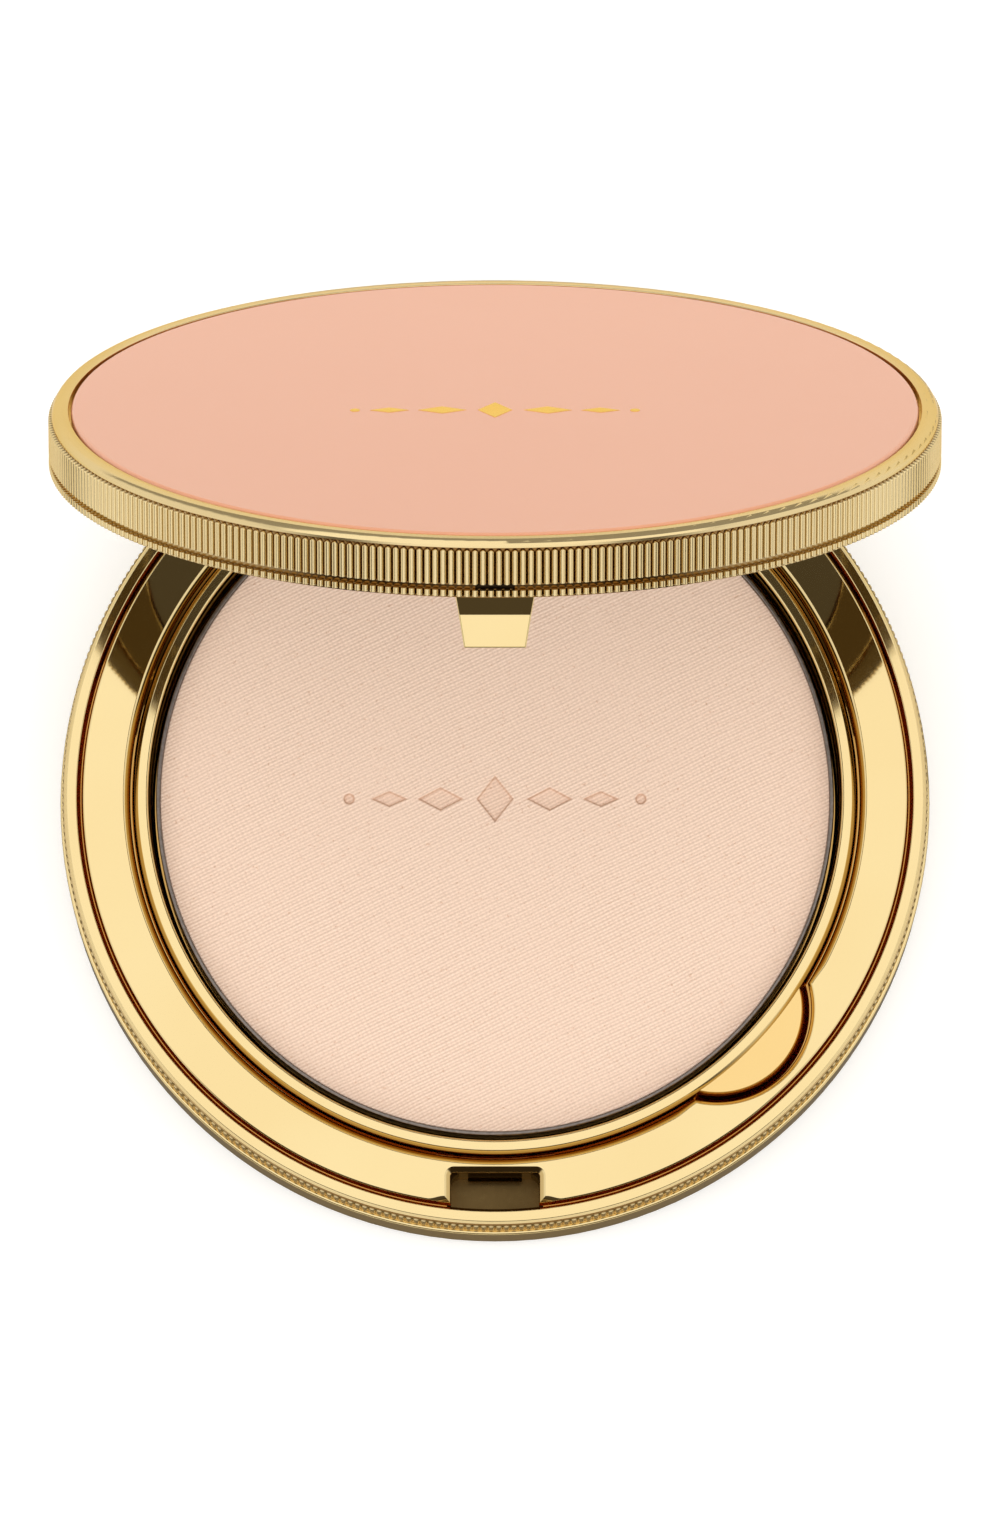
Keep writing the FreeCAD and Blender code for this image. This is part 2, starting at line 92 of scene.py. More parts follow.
# ------------------------------------------------------------------ node helpers
class Mat:
    """Small wrapper for writing node materials."""

    def __init__(self, name):
        self.m = bpy.data.materials.new(name)
        self.m.use_nodes = True
        self.t = self.m.node_tree
        self.t.nodes.clear()
        self.out = self.t.nodes.new("ShaderNodeOutputMaterial")
        self.b = self.t.nodes.new("ShaderNodeBsdfPrincipled")
        self.t.links.new(self.b.outputs[0], self.out.inputs[0])
        self.geo = self.t.nodes.new("ShaderNodeTexCoord")

    def set(self, **kw):
        names = {"color": "Base Color", "metallic": "Metallic", "rough": "Roughness", "ior": "IOR", "coat": "Coat Weight",
                 "coat_rough": "Coat Roughness", "sheen": "Sheen Weight", "sheen_rough": "Sheen Roughness", "spec": "Specular IOR Level",
                 "aniso": "Anisotropic", "trans": "Transmission Weight", "sss": "Subsurface Weight", "sss_scale": "Subsurface Scale"}
        for k, v in kw.items():
            s = self.b.inputs[names[k]]
            if hasattr(v, "default_value") or isinstance(v, bpy.types.NodeSocket):
                self.t.links.new(v, s)
            else:
                s.default_value = (*v, 1.0) if isinstance(v, (tuple, list)) and len(v) == 3 else v
        return self

    def node(self, kind, **props):
        n = self.t.nodes.new(kind)
        for k, v in props.items():
            setattr(n, k, v)
        return n

    def link(self, a, b):
        self.t.links.new(a, b)

    def put(self, sock, v):
        if isinstance(v, bpy.types.NodeSocket):
            self.t.links.new(v, sock)
        else:
            sock.default_value = v

    def math(self, op, a, b=0.0, c=None, clamp=False):
        n = self.node("ShaderNodeMath", operation=op, use_clamp=clamp)
        self.put(n.inputs[0], a)
        self.put(n.inputs[1], b)
        if c is not None:
            self.put(n.inputs[2], c)
        return n.outputs[0]

    def mm(self, lid=False, scale=(1, 1, 1), turn=0.0):
        """Object coordinates in mm; for the lid, in its closed frame."""
        v = self.geo.outputs["Object"]
        if lid:
            m1 = self.node("ShaderNodeMapping", vector_type="POINT")
            m1.inputs["Location"].default_value = tuple(-PIN / 1000.0)
            self.link(v, m1.inputs["Vector"])
            m2 = self.node("ShaderNodeMapping", vector_type="POINT")
            m2.inputs["Rotation"].default_value = (OPEN, 0, 0)
            m2.inputs["Location"].default_value = tuple(PIN / 1000.0)
            self.link(m1.outputs[0], m2.inputs["Vector"])
            v = m2.outputs[0]
        m = self.node("ShaderNodeMapping", vector_type="POINT")
        m.inputs["Scale"].default_value = tuple(1000.0 * s for s in scale)
        m.inputs["Rotation"].default_value = (0, 0, turn)
        self.link(v, m.inputs["Vector"])
        return m.outputs[0]

    def noise(self, vec, scale, detail=3.0, rough=0.5):
        n = self.node("ShaderNodeTexNoise")
        n.inputs["Scale"].default_value = scale
        n.inputs["Detail"].default_value = detail
        n.inputs["Roughness"].default_value = rough
        self.link(vec, n.inputs["Vector"])
        return n.outputs["Fac"]

    def ramp(self, fac, stops):
        n = self.node("ShaderNodeValToRGB")
        e = n.color_ramp.elements
        while len(e) < len(stops):
            e.new(0.5)
        for el, (p, c) in zip(e, stops):
            el.position = p
            el.color = (*c, 1.0) if len(c) == 3 else c
        self.put(n.inputs[0], fac)
        return n.outputs[0]

    def mix(self, fac, a, b, blend="MIX"):
        n = self.node("ShaderNodeMix", data_type="RGBA", blend_type=blend)
        self.put(n.inputs[0], fac)
        for s, v in ((n.inputs[6], a), (n.inputs[7], b)):
            if isinstance(v, bpy.types.NodeSocket):
                self.link(v, s)
            else:
                s.default_value = (*v, 1.0)
        return n.outputs[2]

    def bump(self, height, dist_mm, strength=1.0):
        n = self.node("ShaderNodeBump")
        n.inputs["Distance"].default_value = dist_mm / 1000.0
        n.inputs["Strength"].default_value = strength
        self.link(height, n.inputs["Height"])
        self.link(n.outputs[0], self.b.inputs["Normal"])
        return self


def srgb(*c):
    return tuple((x / 255 / 12.92) if x / 255 <= 0.04045 else ((x / 255 + 0.055) / 1.055) ** 2.4 for x in c)


def lerp_map(mat, v, lo, hi):
    n = mat.node("ShaderNodeMapRange")
    mat.put(n.inputs[0], v)
    n.inputs[3].default_value = lo
    n.inputs[4].default_value = hi
    return n.outputs[0]


# ------------------------------------------------------------------ materials
GOLD = (0.800, 0.640, 0.335)
GOLD_B = (0.785, 0.615, 0.310)


def gold(name, lid=False, rough=(0.045, 0.10), brushed=0.0, tint=(GOLD, GOLD_B), rib_shade=None, sunk_shade=None):
    m = Mat(name)
    v = m.mm(lid)
    big = m.noise(v, 0.06, 2.0)
    fine = m.noise(v, 1.6, 4.0, 0.6)
    col = m.mix(m.ramp(big, [(0.35, (0, 0, 0)), (0.65, (1, 1, 1))]), tint[0], tint[1])
    if rib_shade:
        # painted shade, deeper between the ribs and strongest around the front
        sep = m.node("ShaderNodeSeparateXYZ")
        m.link(v, sep.inputs[0])
        x, y = sep.outputs[0], sep.outputs[1]
        r = m.math("SQRT", m.math("ADD", m.math("MULTIPLY", x, x), m.math("MULTIPLY", y, y)))
        f = m.math("MULTIPLY", m.math("SUBTRACT", r, rib_shade[0]), 1.0 / (rib_shade[1] - rib_shade[0]), clamp=True)
        g = m.math("MULTIPLY", m.math("SUBTRACT", m.math("ABSOLUTE", x), 12.0), 0.035, clamp=True)
        f = m.math("MAXIMUM", f, m.math("MULTIPLY", g, 0.75))
        col = m.mix(1.0, col, m.ramp(f, [(0.0, (0.32, 0.22, 0.13)), (1.0, (1, 1, 1))]), "MULTIPLY")
    if sunk_shade:
        # painted shade: a darker colour down the walls of a slot or a groove
        sep = m.node("ShaderNodeSeparateXYZ")
        m.link(v, sep.inputs[0])
        f = m.math("MULTIPLY", m.math("SUBTRACT", sep.outputs[2], sunk_shade[0]), 1.0 / (sunk_shade[1] - sunk_shade[0]), clamp=True)
        col = m.mix(1.0, col, m.ramp(f, sunk_shade[2]), "MULTIPLY")
    m.set(color=col, metallic=1.0, rough=lerp_map(m, fine, rough[0], rough[1]))
    m.b.inputs["Specular Tint"].default_value = (0.92, 0.74, 0.42, 1.0)
    smear = m.noise(m.mm(lid, (0.35, 0.35, 0.35)), 0.35, 3.0)
    m.bump(smear, 0.02, 0.35)
    return m.m


# painted shade as (lowest z, highest z, ramp): down the groove between frame and tray, and down the latch pocket's
# walls
GROOVE_PAINTED_SHADE = (12.0, 13.0, [(0.0, (0.66, 0.50, 0.30)), (0.50, (0.68, 0.52, 0.32)), (0.62, (0.72, 0.65, 0.52)),
                            (0.84, (0.76, 0.70, 0.58)), (0.90, (1, 1, 1))])
POCKET_PAINTED_SHADE = (7.5, 13.0, [(0.0, (1, 1, 1)), (0.28, (1, 1, 1)), (0.36, (0.14, 0.11, 0.08)), (0.86, (0.14, 0.11, 0.08)), (0.93, (1, 1, 1))])


def satin_gold(name, lid=False, rib_shade=None):
    return gold(name, lid, rough=(0.13, 0.22), tint=((0.77, 0.625, 0.35), (0.74, 0.585, 0.31)), rib_shade=rib_shade)


def powder():
    m = Mat("pressed_powder")
    turn = -math.radians(25.9)
    v = m.mm(turn=turn)
    sep = m.node("ShaderNodeSeparateXYZ")
    # slow waver of the cloth's threads
    wob = m.node("ShaderNodeTexNoise")
    wob.inputs["Scale"].default_value = 0.12
    wob.inputs["Detail"].default_value = 2.0
    m.link(v, wob.inputs["Vector"])
    add = m.node("ShaderNodeVectorMath", operation="MULTIPLY_ADD")
    m.link(wob.outputs["Color"], add.inputs[0])
    add.inputs[1].default_value = (0.45, 0.45, 0.0)
    m.link(v, add.inputs[2])
    m.link(add.outputs[0], sep.inputs[0])
    u, w = sep.outputs[0], sep.outputs[1]

    def wave(x, period, phase=0.0):
        return m.math("COSINE", m.math("MULTIPLY_ADD", x, 2 * math.pi / period, phase))

    weft, warp, half = wave(w, 0.295), wave(u, 0.435), wave(w, 0.59, 0.6)
    cross = m.math("MULTIPLY", weft, warp)
    h = m.math("MULTIPLY_ADD", weft, 0.50, m.math("MULTIPLY", warp, 0.15))
    h = m.math("MULTIPLY_ADD", cross, 0.17, h)
    h = m.math("MULTIPLY_ADD", half, 0.12, h)
    patch = m.noise(v, 0.09, 3.0)
    h = m.math("MULTIPLY", h, lerp_map(m, patch, 0.45, 1.35))
    grain = m.noise(v, 5.5, 5.0, 0.75)
    h2 = m.math("MULTIPLY_ADD", m.math("SUBTRACT", grain, 0.5), 2.1, h)
    tone = m.math("MULTIPLY_ADD", h2, 0.62, 0.5, clamp=True)
    col = m.ramp(tone, [(0.0, (0.655, 0.462, 0.352)), (0.5, (0.832, 0.622, 0.494)), (1.0, (0.945, 0.735, 0.600))])
    speck = m.ramp(m.noise(v, 3.2, 2.0), [(0.0, (1, 1, 1)), (0.66, (1, 1, 1)), (0.75, (0.86, 0.76, 0.69))])
    col = m.mix(1.0, col, speck, "MULTIPLY")
    # the pressed motif: painted shade, a little darker in the hollow and darker still along its walls
    psep = m.node("ShaderNodeSeparateXYZ")
    m.link(m.mm(), psep.inputs[0])
    hollow_shade = m.math("MULTIPLY", m.math("SUBTRACT", 10.49, psep.outputs[2]), 1.0 / 0.28, clamp=True)
    wall = m.math("MULTIPLY", m.math("MULTIPLY", hollow_shade, m.math("SUBTRACT", 1.0, hollow_shade)), 4.0, clamp=True)
    col = m.mix(1.0, col, m.ramp(wall, [(0.0, (1, 1, 1)), (1.0, (0.80, 0.70, 0.62))]), "MULTIPLY")
    col = m.mix(1.0, col, m.ramp(hollow_shade, [(0.0, (1, 1, 1)), (1.0, (0.96, 0.93, 0.91))]), "MULTIPLY")
    m.set(color=col, rough=0.93, spec=0.18, sheen=0.12, sheen_rough=0.5)
    m.bump(h2, 0.035, 0.55)
    return m.m


def enamel():
    m = Mat("pink_enamel")
    v = m.mm(True)
    big = m.noise(v, 0.03, 2.0)
    col = m.mix(big, (0.840, 0.392, 0.232), (0.860, 0.412, 0.248))
    peel = m.noise(v, 0.55, 2.0)
    m.set(color=col, rough=lerp_map(m, m.noise(v, 0.9, 3.0), 0.10, 0.18), coat=0.15, coat_rough=0.03, ior=1.34)
    m.bump(peel, 0.004, 0.25)
    return m.m


def tin(name="tin_pan"):
    m = Mat(name)
    v = m.mm()
    n = m.noise(m.mm(scale=(1, 1, 0.2)), 3.0, 4.0)
    m.set(color=m.ramp(n, [(0.3, (0.17, 0.145, 0.13)), (0.7, (0.26, 0.225, 0.205))]), metallic=1.0, rough=lerp_map(m, n, 0.25, 0.42))
    m.bump(n, 0.01, 0.3)
    return m.m


def steel(name):
    m = Mat(name)
    n = m.noise(m.mm(scale=(0.15, 3, 3)), 2.0, 4.0)
    m.set(color=m.ramp(n, [(0.3, (0.52, 0.50, 0.47)), (0.7, (0.68, 0.66, 0.62))]), metallic=1.0, rough=lerp_map(m, n, 0.18, 0.34))
    m.bump(n, 0.006, 0.3)
    return m.m


def silvered():
    m = Mat("mirror_glass")
    n = m.noise(m.mm(True), 0.05, 2.0)
    m.set(color=m.ramp(n, [(0.3, (0.88, 0.90, 0.90)), (0.7, (0.91, 0.92, 0.92))]), metallic=1.0, rough=0.012, coat=0.4, coat_rough=0.01)
    return m.m


def velour():
    m = Mat("puff_velour")
    v = m.mm()
    n = m.noise(v, 2.6, 5.0, 0.7)
    c = m.ramp(n, [(0.25, (0.62, 0.36, 0.27)), (0.75, (0.83, 0.55, 0.44))])
    m.set(color=c, rough=0.95, sheen=0.6, sheen_rough=0.4, spec=0.1)
    m.bump(n, 0.12, 0.7)
    return m.m


def satin_ribbon():
    m = Mat("ribbon_satin")
    w = m.node("ShaderNodeTexWave", wave_type="BANDS", bands_direction="X")
    m.link(m.mm(), w.inputs["Vector"])
    w.inputs["Scale"].default_value = 1.1
    c = m.ramp(w.outputs["Fac"], [(0.0, (0.72, 0.47, 0.36)), (1.0, (0.84, 0.60, 0.49))])
    m.set(color=c, rough=0.38, sheen=0.3)
    m.bump(w.outputs["Fac"], 0.02, 0.4)
    return m.m


def paper():
    m = Mat("label_paper")
    n = m.noise(m.mm(), 2.0, 5.0, 0.7)
    m.set(color=m.ramp(n, [(0.3, (0.80, 0.73, 0.58)), (0.7, (0.88, 0.82, 0.68))]), rough=0.6)
    m.bump(n, 0.01, 0.4)
    return m.m


def tape(name):
    m = Mat(name)
    n = m.noise(m.mm(), 1.4, 4.0)
    m.set(color=m.ramp(n, [(0.3, (0.68, 0.66, 0.60)), (0.7, (0.80, 0.78, 0.72))]), rough=0.55)
    m.bump(n, 0.02, 0.4)
    return m.m


M = {
    "base": gold("polished_gold_base"), "frame": gold("polished_gold_frame", rough=(0.02, 0.05), sunk_shade=GROOVE_PAINTED_SHADE), "tray": gold("polished_gold_tray", sunk_shade=GROOVE_PAINTED_SHADE),
    "lid": gold("satin_gold_lid", True, rough=(0.11, 0.18), tint=((0.79, 0.635, 0.345), (0.76, 0.60, 0.315))), "inner": gold("polished_gold_inner", True), "tongue": gold("polished_gold_tongue", True),
    # ribbed hoops: the radii given last bound the painted shade between the ribs
    "rib_base": satin_gold("ribbed_gold_base", False, (38.66, 38.80)), "rib_lid": satin_gold("ribbed_gold_lid", True, (38.60, 38.86)),
    "well": gold("well_satin", rough=(0.22, 0.34), tint=((0.50, 0.37, 0.17), (0.40, 0.29, 0.12))),
    # near-black gold tints for the latch pocket's edge and its inside: painted shade of the recess
    "pocket_edge": gold("painted_shade_pocket_edge", rough=(0.06, 0.12), tint=((0.30, 0.20, 0.09), (0.24, 0.155, 0.065)), sunk_shade=POCKET_PAINTED_SHADE),
    "tab": gold("polished_gold_tab", rough=(0.05, 0.10), tint=((0.80, 0.575, 0.25), (0.79, 0.56, 0.235))),
    "recess": gold("shadowed_recess", True, rough=(0.3, 0.45), tint=((0.05, 0.035, 0.02), (0.03, 0.02, 0.012))),
    # painted shade: the latch pocket's inside
    "pocket": gold("painted_shade_pocket", rough=(0.22, 0.36), tint=((0.125, 0.080, 0.030), (0.085, 0.052, 0.018)), sunk_shade=POCKET_PAINTED_SHADE),
    "foil": gold("gold_foil", True, rough=(0.16, 0.28), tint=((0.96, 0.69, 0.24), (0.92, 0.64, 0.20))),
    "powder": powder(), "enamel": enamel(), "tin": tin(), "pin": steel("pin_steel"), "spring": steel("spring_steel"),
    "mirror": silvered(), "velour": velour(), "ribbon": satin_ribbon(), "paper": paper(), "tape": tape("pan_tape"),
    "tape_lid": tape("mirror_tape_foam"), "film": tape("enamel_film"),
}
CAD_MATERIAL = {
    "base_shell": "base", "base_rim": "base", "base_knurled_hoop": "rib_base", "base_frame": "frame", "bottom_label": "paper",
    # the latch spring takes the pocket's near-black colour, painted shade, as it sits in the pocket
    "hinge_pin": "pin", "latch_spring": "pocket", "puff": "velour", "puff_ribbon": "ribbon", "powder_tray": "tray",
    "pan_adhesive": "tape", "powder_pan": "tin", "powder_cake": "powder", "lid_shell": "lid", "lid_knurled_hoop": "rib_lid",
    "enamel_adhesive": "film", "enamel_disc": "enamel", "lid_emblem": "foil", "lid_inner_frame": "inner", "latch_tongue": "tongue",
    "mirror_tape": "tape_lid", "mirror": "mirror",
}
for n, key in CAD_MATERIAL.items():
    for s in NODES[n].material_slots:
        s.material = M[key]



# ------------------------------------------------------------------ mesh helpers (everything in mm until build)
def rounded(points, closed=True, steps=10):
    """Profile points (r, z[, fillet]) as rows (r, z, normal in, normal out), with the fillets drawn as arcs."""
    pts = [(p[0], p[1], p[2] if len(p) > 2 else 0.0) for p in points]
    n = len(pts)
    a2 = sum(pts[i][0] * pts[(i + 1) % n][1] - pts[(i + 1) % n][0] * pts[i][1] for i in range(n))
    side = 1.0 if a2 > 0 else -1.0
    rows = []
    for i, (x, y, rad) in enumerate(pts):
        first, last = (not closed and i == 0), (not closed and i == n - 1)
        A, P, B = np.array(pts[i - 1][:2]), np.array((x, y)), np.array(pts[(i + 1) % n][:2])
        d1 = (P - A) / max(np.linalg.norm(P - A), 1e-12) if not first else None
        d2 = (B - P) / max(np.linalg.norm(B - P), 1e-12) if not last else None
        d1 = d2 if d1 is None else d1
        d2 = d1 if d2 is None else d2
        n1, n2 = side * np.array((d1[1], -d1[0])), side * np.array((d2[1], -d2[0]))
        turn = math.atan2(d1[0] * d2[1] - d1[1] * d2[0], float(d1 @ d2))
        if rad <= 0 or abs(turn) < 1e-4:
            rows.append((P[0], P[1], n1, n2))
            continue
        t = rad * math.tan(abs(turn) / 2)
        s = 1.0 if turn * side > 0 else -1.0
        C = P - t * d1 - s * rad * n1
        k = max(3, int(math.ceil(abs(turn) / (math.pi / 2) * steps)))
        for j in range(k + 1):
            a = turn * j / k
            nn = np.array((n1[0] * math.cos(a) - n1[1] * math.sin(a), n1[0] * math.sin(a) + n1[1] * math.cos(a)))
            q = C + s * rad * nn
            rows.append((q[0], q[1], nn, nn))
    return rows, side


class Soup:
    """Faces with their own corner normals, welded into one mesh at the end."""

    def __init__(self):
        self.P, self.N, self.polys = [], [], []

    def quads(self, P, N):
        self.P.append(np.asarray(P, float).reshape(-1, 4, 3))
        self.N.append(np.asarray(N, float).reshape(-1, 4, 3))

    def strip(self, P, Nlo, Nhi, flip=False):
        """P (rows, columns, 3); Nlo and Nhi (rows - 1, columns, 3) are the normals at each strip's two rows."""
        q = np.stack([P[:-1, :-1], P[:-1, 1:], P[1:, 1:], P[1:, :-1]], 2)
        m = np.stack([Nlo[:, :-1], Nlo[:, 1:], Nhi[:, 1:], Nhi[:, :-1]], 2)
        if flip:
            q, m = q[:, :, ::-1], m[:, :, ::-1]
        self.quads(q, m)

    def smooth(self, P, N, flip=False):
        self.strip(P, N[:-1], N[1:], flip)

    def face(self, pts, normal):
        pts = [tuple(p) for p in pts]
        for tri in tess([[Vector(p) for p in pts]]):
            a, b, c = (np.array(pts[i]) for i in tri)
            if np.dot(np.cross(b - a, c - a), normal) < 0:
                b, c = c, b
            self.polys.append(([a, b, c], [np.array(normal, float)] * 3))

    def turned(self, rot, shift=(0, 0, 0)):
        """The same faces, turned by a 3x3 matrix and moved."""
        r, s = np.array(rot, float), np.array(shift, float)
        self.P = [p @ r.T + s for p in self.P]
        self.N = [n @ r.T for n in self.N]
        self.polys = [([r @ a + s for a in p], [r @ b for b in n]) for p, n in self.polys]
        return self

    def build(self, name, mat, body, nodes=(), slot=None, lid=False):
        P = np.concatenate(self.P) if self.P else np.zeros((0, 4, 3))
        N = np.concatenate(self.N) if self.N else np.zeros((0, 4, 3))
        # every face looks the way its own normals do
        wrong = np.sum(np.cross(P[:, 2] - P[:, 0], P[:, 3] - P[:, 1]) * N.mean(1), 1) < 0
        P[wrong], N[wrong] = P[wrong][:, ::-1], N[wrong][:, ::-1]
        tp = np.array([p for p, _ in self.polys], float).reshape(-1, 3, 3)
        tn = np.array([n for _, n in self.polys], float).reshape(-1, 3, 3)
        allp = np.concatenate([P.reshape(-1, 3), tp.reshape(-1, 3)])
        key = np.round(allp * 20000).astype(np.int64)
        _, first, inv = np.unique(key, axis=0, return_index=True, return_inverse=True)
        inv = inv.reshape(-1)
        verts = allp[first]
        quad = inv[: len(P) * 4].reshape(-1, 4)
        tri = inv[len(P) * 4:].reshape(-1, 3)
        faces, normals = [], []
        for f, nn in list(zip(quad.tolist(), N)) + list(zip(tri.tolist(), tn)):
            keep = [i for i in range(len(f)) if f[i] != f[i - 1]]
            if len(set(f[i] for i in keep)) < 3 or len(set(f[i] for i in keep)) != len(keep):
                continue
            faces.append([f[i] for i in keep])
            normals.extend(nn[i] for i in keep)
        normals = np.array(normals)
        if lid:
            verts, normals = lid_open(verts), lid_turn(normals)
        me = bpy.data.meshes.new(name)
        me.from_pydata((verts / 1000.0).tolist(), [], faces)
        me.polygons.foreach_set("use_smooth", np.ones(len(me.polygons), bool))
        if len(me.loops) == len(normals):
            normals /= np.maximum(np.linalg.norm(normals, axis=1, keepdims=True), 1e-9)
            me.normals_split_custom_set(normals.tolist())
        for m in (mat if isinstance(mat, (list, tuple)) else [mat]):
            me.materials.append(m)
        o = bpy.data.objects.new(name, me)
        bpy.context.scene.collection.objects.link(o)
        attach(o, body)
        if nodes:
            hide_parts(*nodes)
        return o


from mathutils.geometry import tessellate_polygon as tess


def lathe(soup, points, n=720, a0=0.0, a1=2 * math.pi, closed=True, centre=(0.0, 0.0), steps=10):
    """Turned solid: profile points (r, z[, fillet]) swept round Z."""
    rows, side = rounded(points, closed, steps)
    if closed:
        rows = rows + [rows[0]]
    r = np.array([x[0] for x in rows])
    z = np.array([x[1] for x in rows])
    nin, nout = np.array([x[2] for x in rows]), np.array([x[3] for x in rows])
    a = np.linspace(a0, a1, n + 1)
    c, s = np.cos(a), np.sin(a)
    P = np.stack([centre[0] + r[:, None] * c, centre[1] + r[:, None] * s, np.repeat(z[:, None], n + 1, 1)], -1)

    def turn3(m):
        return np.stack([m[:, None, 0] * c, m[:, None, 0] * s, np.repeat(m[:, None, 1], n + 1, 1)], -1)

    soup.strip(P, turn3(nout[:-1]), turn3(nin[1:]), flip=side < 0)
    if a1 - a0 < 2 * math.pi - 1e-6:
        for ang, sg in ((a0, -1.0), (a1, 1.0)):
            e = np.stack([centre[0] + r * math.cos(ang), centre[1] + r * math.sin(ang), z], -1)
            soup.face(list(e[:-1] if closed else e), np.array((-math.sin(ang), math.cos(ang), 0.0)) * sg)
    return soup


def smoothstep(x):
    x = np.clip(x, 0.0, 1.0)
    return x * x * (3 - 2 * x)


# ------------------------------------------------------------------ main sizes, mm (the same numbers as the CAD)
Z_TOP = 13.0
R_PLATE_IN, R_PLATE_OUT = 32.70, 36.93
V_Z, R_V = 11.70, 37.13
SLOT_ANG = math.radians(20.5)
TAB_ANG, TAB_C, TAB_R, NOTCH_R = math.radians(-44.0), 27.6, 7.85, 8.42
POCKET_X, POCKET_Y, POCKET_RC = 3.95, -34.0, 0.30

# ---- raised lip of the base, with the fine V gap inside it
A_SLOT0, A_SLOT1 = math.pi / 2 + math.radians(19.0), math.pi / 2 + 2 * math.pi - math.radians(19.0)
s = Soup()
lathe(s, [(37.2, 7.0), (37.65, 7.0), (37.65, 8.1), (38.75, 8.1, .15), (38.75, 8.55), (38.15, 8.55), (38.15, 12.45), (38.60, 12.45, .05),
          (38.60, 12.62, .08), (38.36, 13.0, .16), (37.50, 13.0, .10), (R_V + .03, V_Z), (37.2, V_Z - .3)], n=900, a0=A_SLOT0, a1=A_SLOT1)
s.build("lip_ring", M["base"], BASE, ["base_rim"])


# ---- knurled hoops
def hoop(name, mat, body, nodes, zs, radius, a0, a1, columns=8, inner=38.2, lid=False):
    """radius(u, x_mm, z) is the outer radius at a place in a rib (u from -0.5 to 0.5)."""
    ribs = int(round((a1 - a0) / math.radians(1.0)))
    a = np.linspace(a0, a1, ribs * columns + 1)
    eps = 1e-4

    def rad(ang, z, nudge=0.0):
        t = (ang + nudge * eps) / math.radians(1.0)
        u = t - np.floor(t) - 0.5
        return radius(u, 39.0 * (ang + math.pi / 2), z)

    A, Z = np.meshgrid(a, zs)
    R = rad(A, Z, 0.0)
    P = np.stack([R * np.cos(A), R * np.sin(A), Z], -1)

    def normal(ang, z, na, nz):
        # slopes taken just inside the face, so that valleys and rib ends stay crisp
        h = math.radians(1.0) / columns * 0.30
        zz = 0.006
        r0 = rad(ang + na * h * 0.02, z + nz * zz * 0.02)
        dra = (rad(ang + na * h, z + nz * zz * 0.02) - r0) / (na * h * 0.98)
        drz = (rad(ang + na * h * 0.02, z + nz * zz) - r0) / (nz * zz * 0.98)
        m = np.stack([np.cos(ang) + dra / r0 * np.sin(ang), np.sin(ang) - dra / r0 * np.cos(ang), -drz], -1)
        return m / np.linalg.norm(m, axis=-1, keepdims=True)

    q = np.stack([P[:-1, :-1], P[:-1, 1:], P[1:, 1:], P[1:, :-1]], 2)
    m = np.stack([normal(A[:-1, :-1], Z[:-1, :-1], 1, 1), normal(A[:-1, 1:], Z[:-1, 1:], -1, 1),
                  normal(A[1:, 1:], Z[1:, 1:], -1, -1), normal(A[1:, :-1], Z[1:, :-1], 1, -1)], 2)
    s = Soup()
    s.quads(q, m)
    # flat ends and the inner wall
    for row, zz, nz in ((0, zs[0], -1.0), (-1, zs[-1], 1.0)):
        I = np.stack([inner * np.cos(a), inner * np.sin(a), np.full_like(a, zz)], -1)
        G = np.stack([I, P[row]], 0)
        s.smooth(G, np.broadcast_to((0.0, 0.0, nz), G.shape), flip=nz > 0)
    I = np.stack([np.stack([inner * np.cos(a), inner * np.sin(a), np.full_like(a, zz)], -1) for zz in (zs[0], zs[-1])], 0)
    s.smooth(I, np.stack([np.stack([-np.cos(a), -np.sin(a), 0 * a], -1)] * 2, 0), flip=True)
    return s.build(name, mat, body, nodes, lid=lid)


def rib(u):
    return 1.0 - np.abs(2 * u) ** 3.3


def ends(u, z, z0, z1, low=(0.20, 0.16), high=(0.20, 0.16)):
    """1 inside a rib's length, falling to 0 at its rounded, arched ends: (arch, softness) of each end."""
    v = np.abs(2 * u) ** 2
    return smoothstep((z - z0 - low[0] * v) / low[1]) * smoothstep((z1 - high[0] * v - z) / high[1])


def levels(*spans):
    out = []
    for lo, hi, k in spans:
        out += list(np.linspace(lo, hi, k, endpoint=False))
    return np.array(out + [spans[-1][1]])


B0, B1 = math.radians(-250.0), math.radians(70.0)
hoop("base_hoop", M["rib_base"], BASE, ["base_knurled_hoop"],
     levels((8.6, 8.75, 1), (8.75, 9.15, 8), (9.15, 11.85, 4), (11.85, 12.25, 10), (12.25, 12.4, 1)),
     lambda u, x, z: 38.68 + 0.16 * rib(u) * ends(u, z, 8.75, 12.25, (0.3, 0.3), (0.3, 0.3)), B0, B1)


def lid_radius(u, x, z):
    tall = 0.42 * rib(u) * ends(u, z, 14.50, 17.69, (0.03, 0.05), (0.24, 0.16))
    short = 0.42 * rib(u) * ends(u, z, 13.36, 14.08, (0.10, 0.12), (0.04, 0.05))
    gap = smoothstep((z - 14.07) / 0.02) * smoothstep((14.53 - z) / 0.04)
    floor = -0.04 + 0.05 * np.clip((z - 14.07) / 0.45, 0, 1)
    lens = np.clip(1.0 - (x / 1.66) ** 2, 0, 1) ** 0.5
    return 38.58 + tall + short + gap * (floor - 0.25 * lens)


